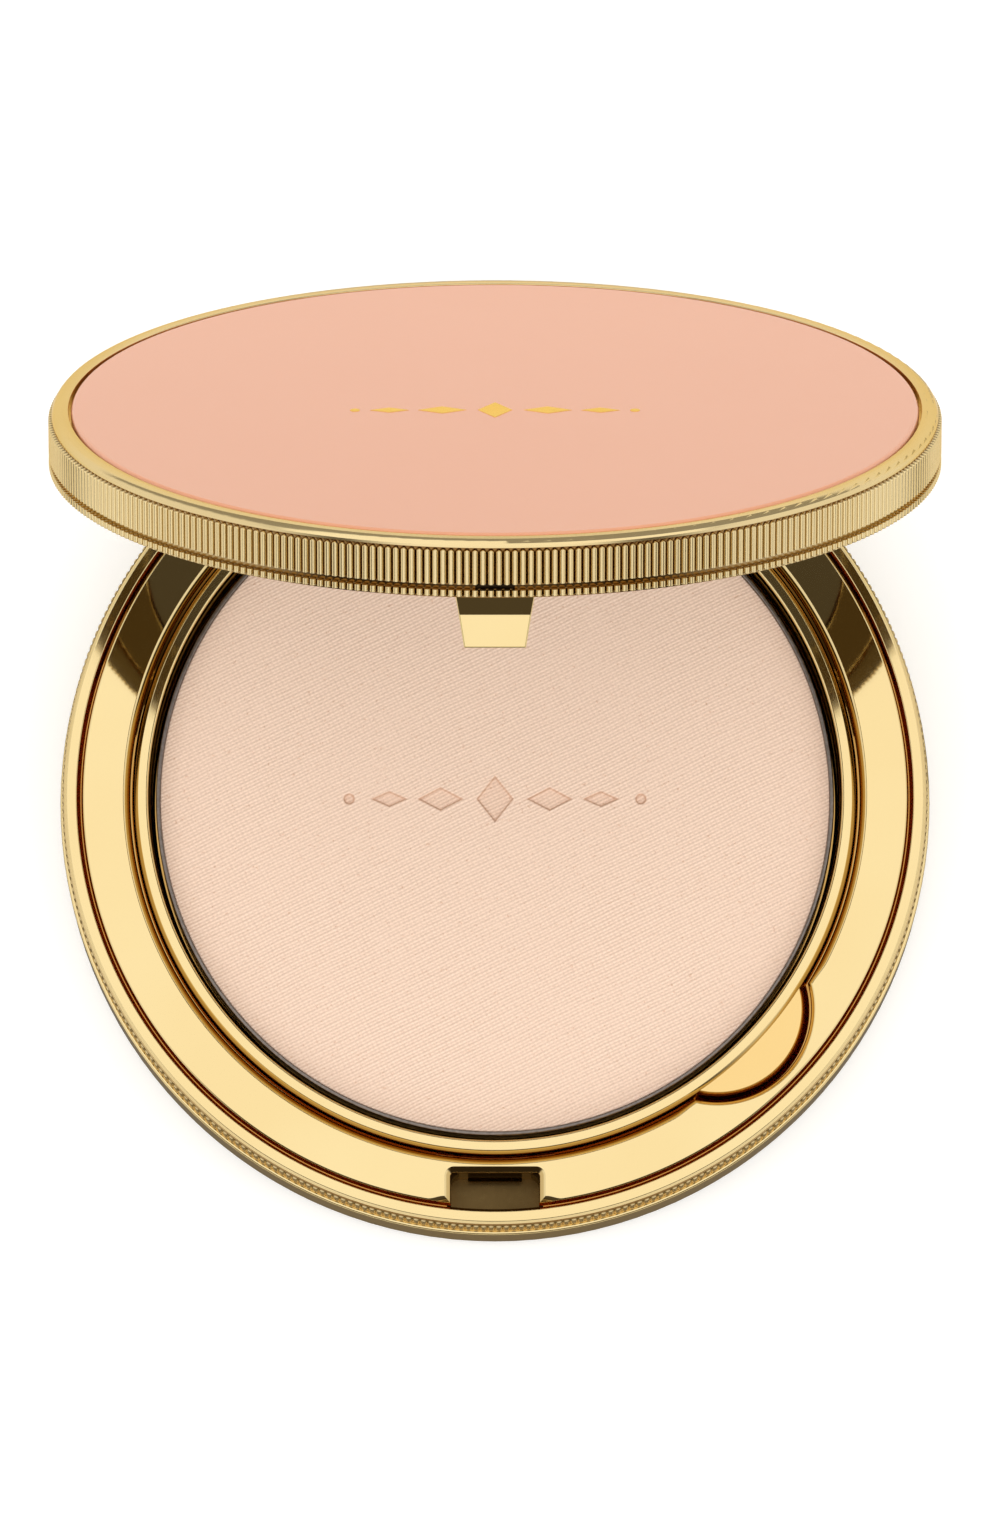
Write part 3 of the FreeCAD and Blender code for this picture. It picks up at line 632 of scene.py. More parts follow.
LA0, LA1 = math.radians(-270.0), math.radians(90.0)
lid_hoop = hoop("lid_hoop", [M["rib_lid"], M["recess"]], LID, ["lid_knurled_hoop"],
     levels((13.3, 13.36, 1), (13.36, 13.58, 7), (13.58, 13.98, 2), (13.98, 14.09, 7), (14.09, 14.50, 5),
            (14.50, 14.60, 7), (14.60, 17.30, 4), (17.30, 17.69, 12), (17.69, 17.75, 1)),
     lid_radius, LA0, LA1, inner=38.25, lid=True)
for pg in lid_hoop.data.polygons:
    c = lid_closed(np.array(pg.center) * 1000.0)
    if abs(c[0]) < 1.64 and c[1] < 0 and 14.075 < c[2] < 14.51 and math.hypot(c[0], c[1]) > 38.28:
        pg.material_index = 1

# ---- flat ring of the frame: rounded inner edge, thumb notch, latch pocket and the V gap's inner wall
A_END0, A_END1 = math.pi / 2 + SLOT_ANG, math.pi / 2 + 2 * math.pi - SLOT_ANG
TAB_A = TAB_ANG + 2 * math.pi


def edge_profile(stops=(0.0, 0.10, 0.70, 1.0), tilts=(0.0, 43.0, 60.0, 88.0), n=16):
    """A worn bevel: (share of the width, drop per width, sine and cosine of the surface's tilt) from the flat to the wall."""
    s = np.concatenate([np.linspace(0, 0.10, 5), np.linspace(0.10, 1.0, n)[1:]])
    fine = np.linspace(0, 1, 2001)
    tilt = np.radians(np.interp(fine, stops, tilts))
    X, Z = np.cumsum(np.cos(tilt)), np.cumsum(np.sin(tilt))
    X, Z = (X - X[0]) / (X[-1] - X[0]), (Z - Z[0]) / (X[-1] - X[0])
    t = np.interp(s, fine, tilt)
    return [(float(a), float(b), math.sin(c), math.cos(c)) for a, b, c in zip(np.interp(s, fine, X), np.interp(s, fine, Z), t)]


PH = edge_profile()
PH_OUT = edge_profile((0.0, 0.10, 0.80, 1.0), (0.0, 36.0, 43.0, 88.0))


def near(dist, lo, hi, length):
    """lo at an end of an edge, growing to hi a little way along it."""
    return lo + (hi - lo) * smoothstep(dist / length)


def inner_edge(ph):
    """Points, outward 2-D normals and fillet radii of the opening's edge, for one step of the fillet."""
    r_n, r_r = 0.42, 0.66
    off = r_n * (1 - ph[0])
    R, rn = R_PLATE_IN + off, NOTCH_R + off
    g = math.acos((R * R - TAB_C ** 2 - rn * rn) / (2 * TAB_C * rn))
    d = math.atan2(rn * math.sin(g), TAB_C + rn * math.cos(g))
    segs = []
    for a, b, n in ((A_END0, TAB_A - d, 620), (None, None, 120), (TAB_A + d, A_END1, 340)):
        if a is None:
            t = np.linspace(-g, g, n + 1) + TAB_A
            c = np.array((TAB_C * math.cos(TAB_A), TAB_C * math.sin(TAB_A)))
            nn = np.stack([np.cos(t), np.sin(t)], -1)
            segs.append((c + rn * nn, -nn, np.full(n + 1, r_n)))
            continue
        t = np.linspace(a, b, n + 1)
        dist = (b - t if b < TAB_A else t - a) * R_PLATE_IN
        rr = near(dist, r_n, r_r, 2.4)
        nn = np.stack([np.cos(t), np.sin(t)], -1)
        segs.append(((R_PLATE_IN + rr * (1 - ph[0]))[:, None] * nn, -nn, rr))
    return segs


def outer_edge(ph):
    """The same for the outer edge, with the latch pocket let into its front."""
    r_c, r_p = 0.14, 0.62
    off = r_p * (1 - ph[0])
    R, X, Y = R_PLATE_OUT - off, POCKET_X + off, POCKET_Y + off
    al = math.asin(X / R)
    yc = -R * math.cos(al)
    segs = []
    front = 3 * math.pi / 2

    def arc(a, b, n):
        t = np.linspace(a, b, n + 1)
        dist = (b - t if b < front + 0.01 else t - a) * R
        rr = near(dist, r_p, r_c, 1.5)
        nn = np.stack([np.cos(t), np.sin(t)], -1)
        segs.append(((R_PLATE_OUT - rr * (1 - ph[0]))[:, None] * nn, nn, rr))

    def line(p, q, nrm, n):
        t = np.linspace(0, 1, n + 1)[:, None]
        segs.append((np.array(p) + t * (np.array(q) - np.array(p)), np.tile(np.array(nrm, float), (n + 1, 1)), np.full(n + 1, r_p)))

    def corner(cx, a, b, n=14):
        t = np.linspace(a, b, n + 1)
        nn = np.stack([np.cos(t), np.sin(t)], -1)
        segs.append((np.array((cx, POCKET_Y - POCKET_RC)) + (POCKET_RC + off) * nn, -nn, np.full(n + 1, r_p)))

    arc(A_END0, front - al, 560)
    line((-X, yc), (-X, POCKET_Y - POCKET_RC), (1, 0), 8)
    corner(-(POCKET_X - POCKET_RC), math.pi, math.pi / 2)
    line((-(POCKET_X - POCKET_RC), Y), (POCKET_X - POCKET_RC, Y), (0, -1), 12)
    corner(POCKET_X - POCKET_RC, math.pi / 2, 0.0)
    line((X, POCKET_Y - POCKET_RC), (X, yc), (-1, 0), 8)
    arc(front + al, A_END1, 560)
    return segs


def edge_surface(soup, edge, profile, bottoms, flip):
    per = [edge(p) for p in profile]
    for k in range(len(per[0])):
        P, N = [], []
        for ph, segs in zip(profile, per):
            xy, nn, rr = segs[k]
            P.append(np.concatenate([xy, (Z_TOP - rr * ph[1])[:, None]], 1))
            N.append(np.concatenate([nn * ph[2], np.full((len(nn), 1), ph[3])], 1))
        P, N = np.stack(P), np.stack(N)
        soup.smooth(P, N, flip)
        out, low = bottoms(k, per[-1][k][0], per[-1][k][1])
        W = np.stack([P[-1], np.concatenate([out, low[:, None]], 1)])
        e = W[1] - W[0]
        wn = np.concatenate([per[-1][k][1], np.zeros((len(out), 1))], 1)
        wn = wn - e * (np.sum(wn * e, 1) / np.maximum(np.sum(e * e, 1), 1e-9))[:, None]
        wn /= np.linalg.norm(wn, axis=1, keepdims=True)
        soup.strip(W, wn[None], wn[None], flip)
    return per


def plate_bottoms_outer(k, xy, nn):
    if k in (0, 6):
        a = np.arctan2(xy[:, 1], xy[:, 0])
        return R_V * np.stack([np.cos(a), np.sin(a)], -1), np.full(len(xy), V_Z)
    return xy + nn * 0.04, np.full(len(xy), 7.5)


s = Soup()
pi_ = edge_surface(s, inner_edge, PH, lambda k, xy, nn: (xy, np.full(len(xy), 10.99)), flip=True)
po_ = edge_surface(s, outer_edge, PH_OUT, plate_bottoms_outer, flip=False)
inner_loop = np.concatenate([x[0] for x in pi_[0]])
outer_loop = np.concatenate([x[0] for x in po_[0]])


def tidy(loop):
    keep = [0]
    for i in range(1, len(loop)):
        if np.linalg.norm(loop[i] - loop[keep[-1]]) > 2e-4:
            keep.append(i)
    return loop[keep]


ring = np.concatenate([tidy(outer_loop), tidy(inner_loop)[::-1]])
s.face([(x, y, Z_TOP) for x, y in ring], (0, 0, 1))
for ang, sg in ((A_END0, -1.0), (A_END1, 1.0)):
    i = 0 if sg < 0 else -1
    prof = [(*x[i][0][i], Z_TOP - x[i][2][i] * p[1]) for p, x in zip(PH, pi_)]
    prof = prof[::-1] + [(*x[i][0][i], Z_TOP - x[i][2][i] * p[1]) for p, x in zip(PH_OUT, po_)]
    prof = [(R_PLATE_IN * math.cos(ang), R_PLATE_IN * math.sin(ang), 10.99)] + prof + [(R_V * math.cos(ang), R_V * math.sin(ang), V_Z)]
    s.face(prof, np.array((-math.sin(ang), math.cos(ang), 0)) * sg)
plate = s.build("frame_ring", [M["frame"], M["pocket_edge"]], BASE, slot="base_frame")
# faces along the pocket's back edge take the near-black pocket-edge colour: painted shade
for pg in plate.data.polygons:
    c = np.array(pg.center) * 1000.0
    if abs(c[0]) < POCKET_X + 0.05 and POCKET_Y - 0.06 < c[1] < POCKET_Y + 0.60 and c[2] < Z_TOP - 0.012:
        pg.material_index = 1


# ---- the rest of the frame, its CAD solid without the part that the ring stands for
def cad_without(name, node, cutters, mats, body, material_of=None):
    """A new piece: a CAD node's solid minus turned or prismatic cutters."""
    src = NODES[node]
    o = bpy.data.objects.new(name, src.data.copy())
    bpy.context.scene.collection.objects.link(o)
    tools = []
    for i, c in enumerate(cutters):
        me = bpy.data.meshes.new(f"cut_{name}_{i}")
        me.from_pydata((c[0] / 1000.0).tolist(), [], c[1])
        t = bpy.data.objects.new(me.name, me)
        bpy.context.scene.collection.objects.link(t)
        md = o.modifiers.new("cut", "BOOLEAN")
        md.operation, md.solver, md.object = "DIFFERENCE", "EXACT", t
        tools.append(t)
    dg = bpy.context.evaluated_depsgraph_get()
    dg.update()
    me = bpy.data.meshes.new_from_object(o.evaluated_get(dg), depsgraph=dg)
    o.modifiers.clear()
    o.data = me
    for t in tools:
        bpy.data.objects.remove(t, do_unlink=True)
    me.materials.clear()
    for m in mats:
        me.materials.append(m)
    me.polygons.foreach_set("material_index", np.zeros(len(me.polygons), np.int32))
    if material_of:
        for p in me.polygons:
            p.material_index = material_of(p.center * 1000.0, p.normal)
    if me.has_custom_normals:
        with bpy.context.temp_override(object=o, active_object=o, selected_objects=[o]):
            bpy.ops.mesh.customdata_custom_splitnormals_clear()
    me.polygons.foreach_set("use_smooth", np.ones(len(me.polygons), bool))
    me.set_sharp_from_angle(angle=math.radians(28))
    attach(o, body)
    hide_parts(node)
    return o


def ring_cutter(r0, r1, z0, z1, a0, a1, n=240):
    a = np.linspace(a0, a1, n + 1)
    rows = [np.stack([r * np.cos(a), r * np.sin(a), np.full_like(a, z)], -1) for r, z in ((r0, z0), (r1, z0), (r1, z1), (r0, z1))]
    v = np.concatenate(rows)
    m = n + 1
    f = []
    for k in range(4):
        k2 = (k + 1) % 4
        for j in range(n):
            f.append((k * m + j, k * m + j + 1, k2 * m + j + 1, k2 * m + j))
    f.append((0, m, 2 * m, 3 * m))
    f.append((n, 3 * m + n, 2 * m + n, m + n))
    return v, f


def prism_cutter(outline, z0, z1):
    o = np.array(outline, float)
    n = len(o)
    v = np.concatenate([np.column_stack([o, np.full(n, z0)]), np.column_stack([o, np.full(n, z1)])])
    f = [tuple(range(n))[::-1], tuple(range(n, 2 * n))] + [(i, (i + 1) % n, n + (i + 1) % n, n + i) for i in range(n)]
    return v, f


# the pocket's faces take the near-black pocket colour, painted shade; faces down in the well take the well colour
frame_body = cad_without("frame_body", "base_frame", [ring_cutter(32.64, 38.2, 11.72, 14.0, A_END0, A_END1), ring_cutter(31.9, 32.66, 11.03, 14.0, A_END0, A_END1)],
                         [M["frame"], M["well"], M["pocket"]], BASE,
                         lambda c, n: 2 if (abs(c.x) < 4.2 and c.y < -33.9 and c.z < 11.9) else 1 if (c.z < 10.0 and c.xy.length < 32.0) else 0)

# ---- tray: rounded ring, thumb tab and the arm to the pin
s = Soup()
lathe(s, [(0, 6.1), (30.9, 6.1, .15), (31.3, 6.5, .1), (31.3, 11.05), (32.60, 11.05, .03), (32.50, 12.10, .5), (32.31, 12.58, .3), (31.97, 12.92, .06), (31.10, 12.92, .24),
          (30.98, 11.7, .1), (30.75, 10.9), (30.75, 6.9, .15), (0, 6.9)], n=720, closed=False, steps=12)
tc = np.array((TAB_C * math.cos(TAB_A), TAB_C * math.sin(TAB_A)))
R_IN, ZT, RF = 31.75, 12.60, 0.34
PT, NT = [], []
for ph in PH:
    rt = TAB_R - RF * (1 - ph[0])
    g = math.acos((R_IN ** 2 - TAB_C ** 2 - rt * rt) / (2 * TAB_C * rt))
    t = np.linspace(-g, g, 121) + TAB_A
    nn = np.stack([np.cos(t), np.sin(t)], -1)
    PT.append(np.column_stack([tc + rt * nn, np.full(121, ZT - RF * ph[1])]))
    NT.append(np.column_stack([nn * ph[2], np.full(121, ph[3])]))
rl = TAB_R + 0.46
g = math.acos((R_IN ** 2 - TAB_C ** 2 - rl * rl) / (2 * TAB_C * rl))
nn = np.stack([np.cos(np.linspace(-g, g, 121) + TAB_A), np.sin(np.linspace(-g, g, 121) + TAB_A)], -1)
low = np.column_stack([tc + rl * nn, np.full(121, 11.03)])
drop = PT[-1][0, 2] - 11.03
wall = np.column_stack([nn * drop, np.full(121, 0.46)]) / math.hypot(drop, 0.46)
s.smooth(np.stack(PT), np.stack(NT), flip=False)
s.strip(np.stack([PT[-1], low]), wall[None], wall[None], flip=False)
top = PT[0][:, :2]
d0, d1 = (math.atan2(p[1], p[0]) for p in (top[0], top[-1]))
back = np.linspace(d1, d0, 60)[1:-1]
outline = list(map(tuple, top)) + [(R_IN * math.cos(a), R_IN * math.sin(a)) for a in back]
s.face([(x, y, ZT) for x, y in outline], (0, 0, 1))
lowxy = low[:, :2]
d0, d1 = (math.atan2(p[1], p[0]) for p in (lowxy[0], lowxy[-1]))
back = np.linspace(d1, d0, 60)[1:-1]
s.face([(x, y, 11.03) for x, y in list(map(tuple, lowxy)) + [(R_IN * math.cos(a), R_IN * math.sin(a)) for a in back]], (0, 0, -1))
tray = s.build("tray_ring", [M["tray"], M["tab"]], BASE, slot="powder_tray")
for pg in tray.data.polygons:
    c = np.array(pg.center) * 1000.0
    near_tab = np.hypot(*(c[:2] - tc)) < TAB_R + 0.01
    if abs(c[2] - ZT) < 0.004 or (near_tab and 12.0 < c[2] < ZT and np.hypot(c[0], c[1]) > 32.62):
        pg.material_index = 1
circ = [(32.2 * math.cos(a), 32.2 * math.sin(a)) for a in np.linspace(0, 2 * math.pi, 361)[:-1]]
tabbox = [(6, -40), (45, -40), (45, 2), (6, 2)]
cad_without("tray_arm", "powder_tray", [prism_cutter(circ, 5.0, 14.0), prism_cutter(tabbox, 5.0, 14.0)], [M["tray"]], BASE)

# ---- pressed powder, with a soft-edged sunk motif
LOZ = [(0.0, 1.70, 2.15), (4.9, 2.10, 1.10), (-4.9, 2.10, 1.10), (9.5, 1.70, 0.75), (-9.5, 1.70, 0.75)]
DOTS = [(13.1, 0.52), (-13.1, 0.52)]


def motif_depth(x, y):
    d = np.full(np.shape(x), -9.0)
    for cx, hx, hy in LOZ:
        d = np.maximum(d, (1 - np.abs(x - cx) / hx - np.abs(y) / hy) * hx * hy / math.hypot(hx, hy))
    for cx, r in DOTS:
        d = np.maximum(d, r - np.hypot(x - cx, y))
    return 0.30 * smoothstep((d + 0.03) / 0.24) - 0.02 * np.exp(-((d + 0.10) / 0.07) ** 2)


CAKE_Z, CAKE_R = 10.50, 30.07
gx, gy = np.linspace(-14.4, 14.4, 361), np.linspace(-2.7, 2.7, 91)
X, Y = np.meshgrid(gx, gy)
Zm = -motif_depth(X, Y)
Zm[0, :] = Zm[-1, :] = 0
Zm[:, 0] = Zm[:, -1] = 0
h = 0.02
nx = (motif_depth(X + h, Y) - motif_depth(X - h, Y)) / (2 * h)
ny = (motif_depth(X, Y + h) - motif_depth(X, Y - h)) / (2 * h)
NN = np.stack([nx, ny, np.ones_like(nx)], -1)
NN /= np.linalg.norm(NN, axis=-1, keepdims=True)
s = Soup()
s.smooth(np.stack([X, Y, CAKE_Z + Zm], -1), NN)
edge_a = np.linspace(0, 2 * math.pi, 721)[:-1]
R_FLAT = CAKE_R - 0.14
outer = [Vector((R_FLAT * math.cos(a), R_FLAT * math.sin(a), CAKE_Z)) for a in edge_a]
hole = [Vector((x, gy[0], CAKE_Z)) for x in gx[:-1]] + [Vector((gx[-1], y, CAKE_Z)) for y in gy[:-1]] + \
       [Vector((x, gy[-1], CAKE_Z)) for x in gx[:0:-1]] + [Vector((gx[0], y, CAKE_Z)) for y in gy[:0:-1]]
allv = outer + hole
for tri in tess([outer, hole]):
    a, b, c = (np.array(allv[i]) for i in tri)
    if np.cross(b - a, c - a)[2] < 0:
        b, c = c, b
    s.polys.append(([a, b, c], [np.array((0.0, 0.0, 1.0))] * 3))
lathe(s, [(0, 7.4), (CAKE_R, 7.4), (CAKE_R, CAKE_Z, .14), (R_FLAT, CAKE_Z)], n=720, closed=False)
s.build("powder_top", M["powder"], BASE, ["powder_cake"])

# ---- latch tongue: flat plate, flared at its root, thin rounded edges
TIP_Z, ROOT_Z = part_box("latch_tongue")[0], None
s = Soup()


def tongue_section(z):
    t = (z - TONGUE_TIP) / (13.35 - TONGUE_TIP)
    w = 2.66 + (3.45 - 2.66) * min(max(t, 0), 1)
    k = max(0.0, z - 10.95)
    yo = -36.18 - 0.27 * (math.sqrt(k * k + 0.02) - math.sqrt(0.02))
    yi = -34.78
    r = 0.16
    pts, nrm = [], []
    for cx, cy, a0 in ((w - r, yi - r, 0.0), (-(w - r), yi - r, math.pi / 2), (-(w - r), yo + r, math.pi), (w - r, yo + r, 1.5 * math.pi)):
        for a in np.linspace(a0, a0 + math.pi / 2, 7):
            pts.append((cx + r * math.cos(a), cy + r * math.sin(a)))
            nrm.append((math.cos(a), math.sin(a)))
    pts.append(pts[0])
    nrm.append(nrm[0])
    return np.array(pts), np.array(nrm)


TONGUE_TIP = 8.15
zs = np.concatenate([[TONGUE_TIP], np.linspace(TONGUE_TIP, 10.7, 6)[1:], np.linspace(10.7, 11.9, 25)[1:], np.linspace(11.9, 14.2, 8)[1:]])
secs = [tongue_section(z) for z in zs]
# a small rounding at the tip
P, N = [], []
for z, (xy, nn) in zip(zs, secs):
    sl = 0.27 * (max(0.0, z - 10.95) / math.sqrt(max(0.0, z - 10.95) ** 2 + 0.02)) * (nn[:, 1] < -0.5)
    taper = (3.45 - 2.66) / (13.35 - TONGUE_TIP) * (np.abs(nn[:, 0]) > 0.7)
    P.append(np.column_stack([xy, np.full(len(xy), z)]))
    N.append(np.column_stack([nn, -sl - taper]))
tipxy, tipn = secs[0]
for ph in np.linspace(0, math.pi / 2, 7)[1:]:
    r = 0.15
    xy = tipxy - tipn * r * (1 - math.cos(ph))
    P.insert(0, np.column_stack([xy, np.full(len(xy), TONGUE_TIP - r * math.sin(ph))]))
    N.insert(0, np.column_stack([tipn * math.cos(ph), np.full(len(xy), -math.sin(ph))]))
P, N = np.stack(P), np.stack(N)
N /= np.linalg.norm(N, axis=-1, keepdims=True)
s.smooth(P, N)
s.face(list(P[0][:-1]), (0, 0, -1))
s.face(list(P[-1][:-1]), (0, 0, 1))
s.build("tongue_plate", M["tongue"], LID, ["latch_tongue"], lid=True)

# ---- puff and its ribbon, stored in the well
PUFF_R, PZ0, PZ1 = 29.5, 2.37, 5.33
s = Soup()
a = np.linspace(0, 2 * math.pi, 361)
rr = np.concatenate([np.linspace(0.0, 26.0, 40), PUFF_R - 3.5 + 3.5 * np.sin(np.linspace(0, math.pi / 2, 16))[1:]])
crown = lambda r: 1.0 - 0.10 * (r / PUFF_R) ** 2
mid = (PZ0 + PZ1) / 2


def puff_rows(sign):
    rows = []
    for r in rr:
        e = max(0.0, (r - (PUFF_R - 3.5)) / 3.5)
        half = (PZ1 - PZ0) / 2 * crown(r) * math.sqrt(max(0.0, 1 - e ** 2.4))
        pull = 1 + 0.006 * np.cos(36 * a) * e
        w = 0.05 * np.sin(5 * a + 1.3) * np.sin(r * 0.45) + 0.04 * np.cos(9 * a + r * 0.7)
        z = mid + sign * (half + (w - 0.09) * (half > 0.5)) if sign > 0 else mid - half
        rows.append(np.stack([r * pull * np.cos(a) if e < 1 else PUFF_R * np.cos(a), r * pull * np.sin(a) if e < 1 else PUFF_R * np.sin(a),
                              np.broadcast_to(z, a.shape)], -1))
    return np.stack(rows)


def grid_normals(P):
    du = np.gradient(P, axis=0)
    dv = np.gradient(P, axis=1)
    n = np.cross(du, dv)
    ln = np.linalg.norm(n, axis=-1, keepdims=True)
    return np.where(ln > 1e-9, n / np.maximum(ln, 1e-9), (0, 0, 1))


for sign in (1, -1):
    P = puff_rows(sign)
    N = grid_normals(P)
    N[0] = (0, 0, 1)
    if sign < 0:
        N = -N
        N[0] = (0, 0, -1)
    s.smooth(P, N, flip=sign > 0)
puff = s.build("puff_pad", M["velour"], BASE, ["puff"])
# satin-stitched seam round the puff
s = Soup()
sa = np.linspace(0, 2 * math.pi, 721)
sb = np.linspace(0, 2 * math.pi, 9)
P = np.stack([np.stack([(29.50 + 0.10 * np.cos(b)) * np.cos(sa), (29.50 + 0.10 * np.cos(b)) * np.sin(sa),
                        np.full_like(sa, mid) + 0.22 * math.sin(b) + 0.03 * np.sin(180 * sa)], -1) for b in sb])
N = np.stack([np.stack([np.cos(b) * np.cos(sa), np.cos(b) * np.sin(sa), np.full_like(sa, math.sin(b))], -1) for b in sb])
s.smooth(P, N)
s.build("puff_seam", M["ribbon"], BASE, slot="puff")
s = Soup()
rx, ry = np.linspace(-27.4, 27.4, 161), np.linspace(-5.95, 5.95, 41)
X, Y = np.meshgrid(rx, ry)
Zr = 5.34 - 0.22 * (np.abs(X) / 27.4) ** 3 + 0.03 * np.sin(X * 0.8) * np.cos(Y * 0.4)
up = np.stack([X, Y, Zr + 0.20], -1)
dn = np.stack([X, Y, Zr], -1)
Nu = grid_normals(up)
Nu = np.where(Nu[..., 2:] < 0, -Nu, Nu)
s.smooth(up, Nu)
s.smooth(dn, -Nu, flip=True)
for sl, nrm, fl in ((np.s_[0, :], (0, -1, 0), False), (np.s_[-1, :], (0, 1, 0), True), (np.s_[:, 0], (-1, 0, 0), True), (np.s_[:, -1], (1, 0, 0), False)):
    G = np.stack([dn[sl], up[sl]])
    s.smooth(G, np.broadcast_to(np.array(nrm, float), G.shape), flip=fl)
ribbon = s.build("ribbon_band", M["ribbon"], BASE, ["puff_ribbon"])

# ------------------------------------------------------------------ stage, light, camera
def make_plane(name, size, z, mat):
    me = bpy.data.meshes.new(name)
    h = size / 2
    me.from_pydata([(-h, -h, z), (h, -h, z), (h, h, z), (-h, h, z)], [], [(0, 1, 2, 3)])
    me.materials.append(mat)
    o = bpy.data.objects.new(name, me)
    bpy.context.scene.collection.objects.link(o)
    return o


fm = Mat("floor_white")
fm.set(color=fm.ramp(fm.noise(fm.mm(), 0.01), [(0.3, (0.90, 0.90, 0.90)), (0.7, (0.92, 0.92, 0.92))]), rough=0.9, spec=0.0)
fm.b.inputs["Emission Color"].default_value = (0.96, 0.98, 1.0, 1.0)
fm.b.inputs["Emission Strength"].default_value = 0.22
white = make_plane("floor", 6.0, -0.00002, fm.m)
white.visible_glossy = white.visible_diffuse = white.visible_transmission = False
# what the metal and the enamel see under the object: the same table, not overexposed, and dark close round the object
# as painted contact shade
fr = Mat("floor_reflected")
fsep = fr.node("ShaderNodeSeparateXYZ")
fr.link(fr.mm(), fsep.inputs[0])
fx, fy = fsep.outputs[0], fsep.outputs[1]
frad = fr.math("SQRT", fr.math("ADD", fr.math("MULTIPLY", fx, fx), fr.math("MULTIPLY", fy, fy)))
frad = fr.math("MULTIPLY_ADD", fr.noise(fr.mm(), 0.01), 2.0, frad)
# painted contact shade: dark out to about 46 mm from the middle, pale beyond 60 mm
fcol = fr.ramp(fr.math("MULTIPLY", frad, 0.01), [(0.0, (0.23, 0.22, 0.20)), (0.46, (0.27, 0.26, 0.24)), (0.60, (0.92, 0.92, 0.92))])
fr.set(color=fcol, rough=0.9, spec=0.0)
fr.link(fcol, fr.b.inputs["Emission Color"])
fr.b.inputs["Emission Strength"].default_value = 0.15
table = make_plane("table_reflected", 0.36, -0.00004, fr.m)
table.visible_camera = False


def area(name, pos, look, sx, sy, radiance, color=(1, 1, 1)):
    d = bpy.data.lights.new(name, "AREA")
    d.shape = "RECTANGLE"
    d.size, d.size_y = sx, sy
    d.energy = radiance * math.pi * sx * sy
    d.color = color
    o = bpy.data.objects.new(name, d)
    bpy.context.scene.collection.objects.link(o)
    o.location = pos
    o.rotation_euler = (Vector(look) - Vector(pos)).to_track_quat("-Z", "Y").to_euler()
    return o


area("left", (-0.52, -0.10, 0.62), (0, 0, 0.02), 0.36, 0.36, 2.4).visible_glossy = False
area("right", (0.52, -0.10, 0.62), (0, 0, 0.02), 0.36, 0.36, 2.2).visible_glossy = False
area("front_soft", (0, -0.62, 0.30), (0, 0, 0.02), 0.9, 0.4, 1.05).visible_glossy = False
area("back_fill", (0, 0.34, 0.16), (0, 0.05, 0.04), 0.5, 0.16, 0.7).visible_glossy = False

# soft room: bright ceiling, dim low front, bright wall behind
world = bpy.data.worlds.new("studio")
bpy.context.scene.world = world
world.use_nodes = True
wt = world.node_tree
wt.nodes.clear()


def wnode(kind, **props):
    n = wt.nodes.new(kind)
    for k, v in props.items():
        setattr(n, k, v)
    return n


def wmath(op, a, b=0.0, c=None, clamp=False):
    n = wnode("ShaderNodeMath", operation=op, use_clamp=clamp)
    for sck, v in zip(n.inputs, (a, b, c)):
        if isinstance(v, bpy.types.NodeSocket):
            wt.links.new(v, sck)
        elif v is not None:
            sck.default_value = v
    return n.outputs[0]


def wstep(v, lo, hi, out=1.0):
    n = wnode("ShaderNodeMapRange", interpolation_type="SMOOTHSTEP")
    wt.links.new(v, n.inputs[0])
    n.inputs[1].default_value, n.inputs[2].default_value = lo, hi
    n.inputs[3].default_value, n.inputs[4].default_value = 0.0, out
    return n.outputs[0]


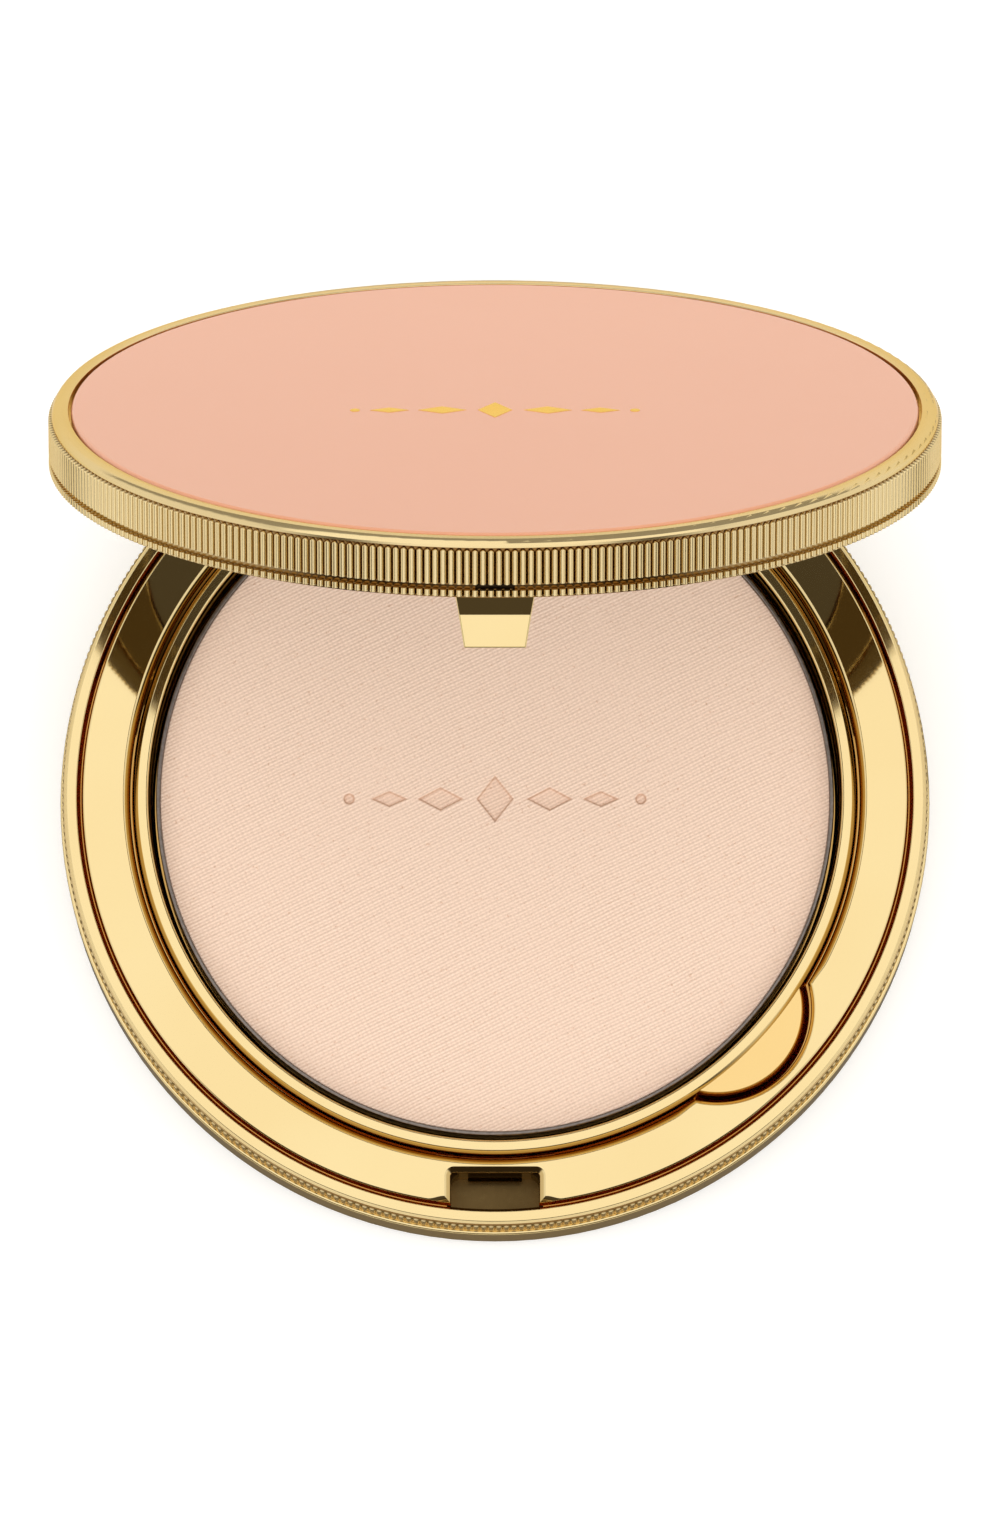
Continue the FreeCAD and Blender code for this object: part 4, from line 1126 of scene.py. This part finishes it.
tcn = wnode("ShaderNodeTexCoord")
sep = wnode("ShaderNodeSeparateXYZ")
wt.links.new(tcn.outputs["Generated"], sep.inputs[0])
dx, dy, dz = sep.outputs
ceiling = wstep(dz, 0.52, 0.66, 1.16)
sides = wstep(wmath("ABSOLUTE", dx), 0.62, 0.84, 0.92)
behind = wstep(dy, 0.15, 0.6, 0.30)
level = wmath("MAXIMUM", wmath("MAXIMUM", ceiling, sides), behind)
wb = wnode("ShaderNodeBackground")
wb.inputs[0].default_value = (1, 0.995, 0.985, 1)
wt.links.new(level, wb.inputs[1])
wc = wnode("ShaderNodeBackground")
wc.inputs[0].default_value = (0.96, 0.96, 0.96, 1)
wd = wnode("ShaderNodeBackground")
wd.inputs[0].default_value = (1.0, 0.80, 0.52, 1)
wd.inputs[1].default_value = 0.085
wsum = wnode("ShaderNodeAddShader")
wt.links.new(wb.outputs[0], wsum.inputs[0])
wt.links.new(wd.outputs[0], wsum.inputs[1])
mixw = wnode("ShaderNodeMixShader")
lp = wnode("ShaderNodeLightPath")
wt.links.new(lp.outputs["Is Camera Ray"], mixw.inputs[0])
wt.links.new(wsum.outputs[0], mixw.inputs[1])
wt.links.new(wc.outputs[0], mixw.inputs[2])
wo = wnode("ShaderNodeOutputWorld")
wt.links.new(mixw.outputs[0], wo.inputs[0])

sc = bpy.context.scene
sc.view_settings.view_transform = "Standard"
sc.view_settings.look = "None"
sc.cycles.glossy_bounces = 10
sc.cycles.max_bounces = 14

CAM_EL = math.radians(82.0)
CAM_D = 1.175
target = Vector((0.0, 0.0029, TOP / 1000.0))
cd = bpy.data.cameras.new("cam")
cd.sensor_width = 36.0
cd.sensor_fit = "AUTO"
cd.lens = 11.157 * CAM_D * 1000.0 * 36.0 / 1526.0
cd.clip_start, cd.clip_end = 0.05, 20.0
cam = bpy.data.objects.new("cam", cd)
sc.collection.objects.link(cam)
back = Vector((0, -math.cos(CAM_EL), math.sin(CAM_EL)))
cam.location = target + back * CAM_D
cam.rotation_euler = (-back).to_track_quat("-Z", "Y").to_euler()
sc.camera = cam
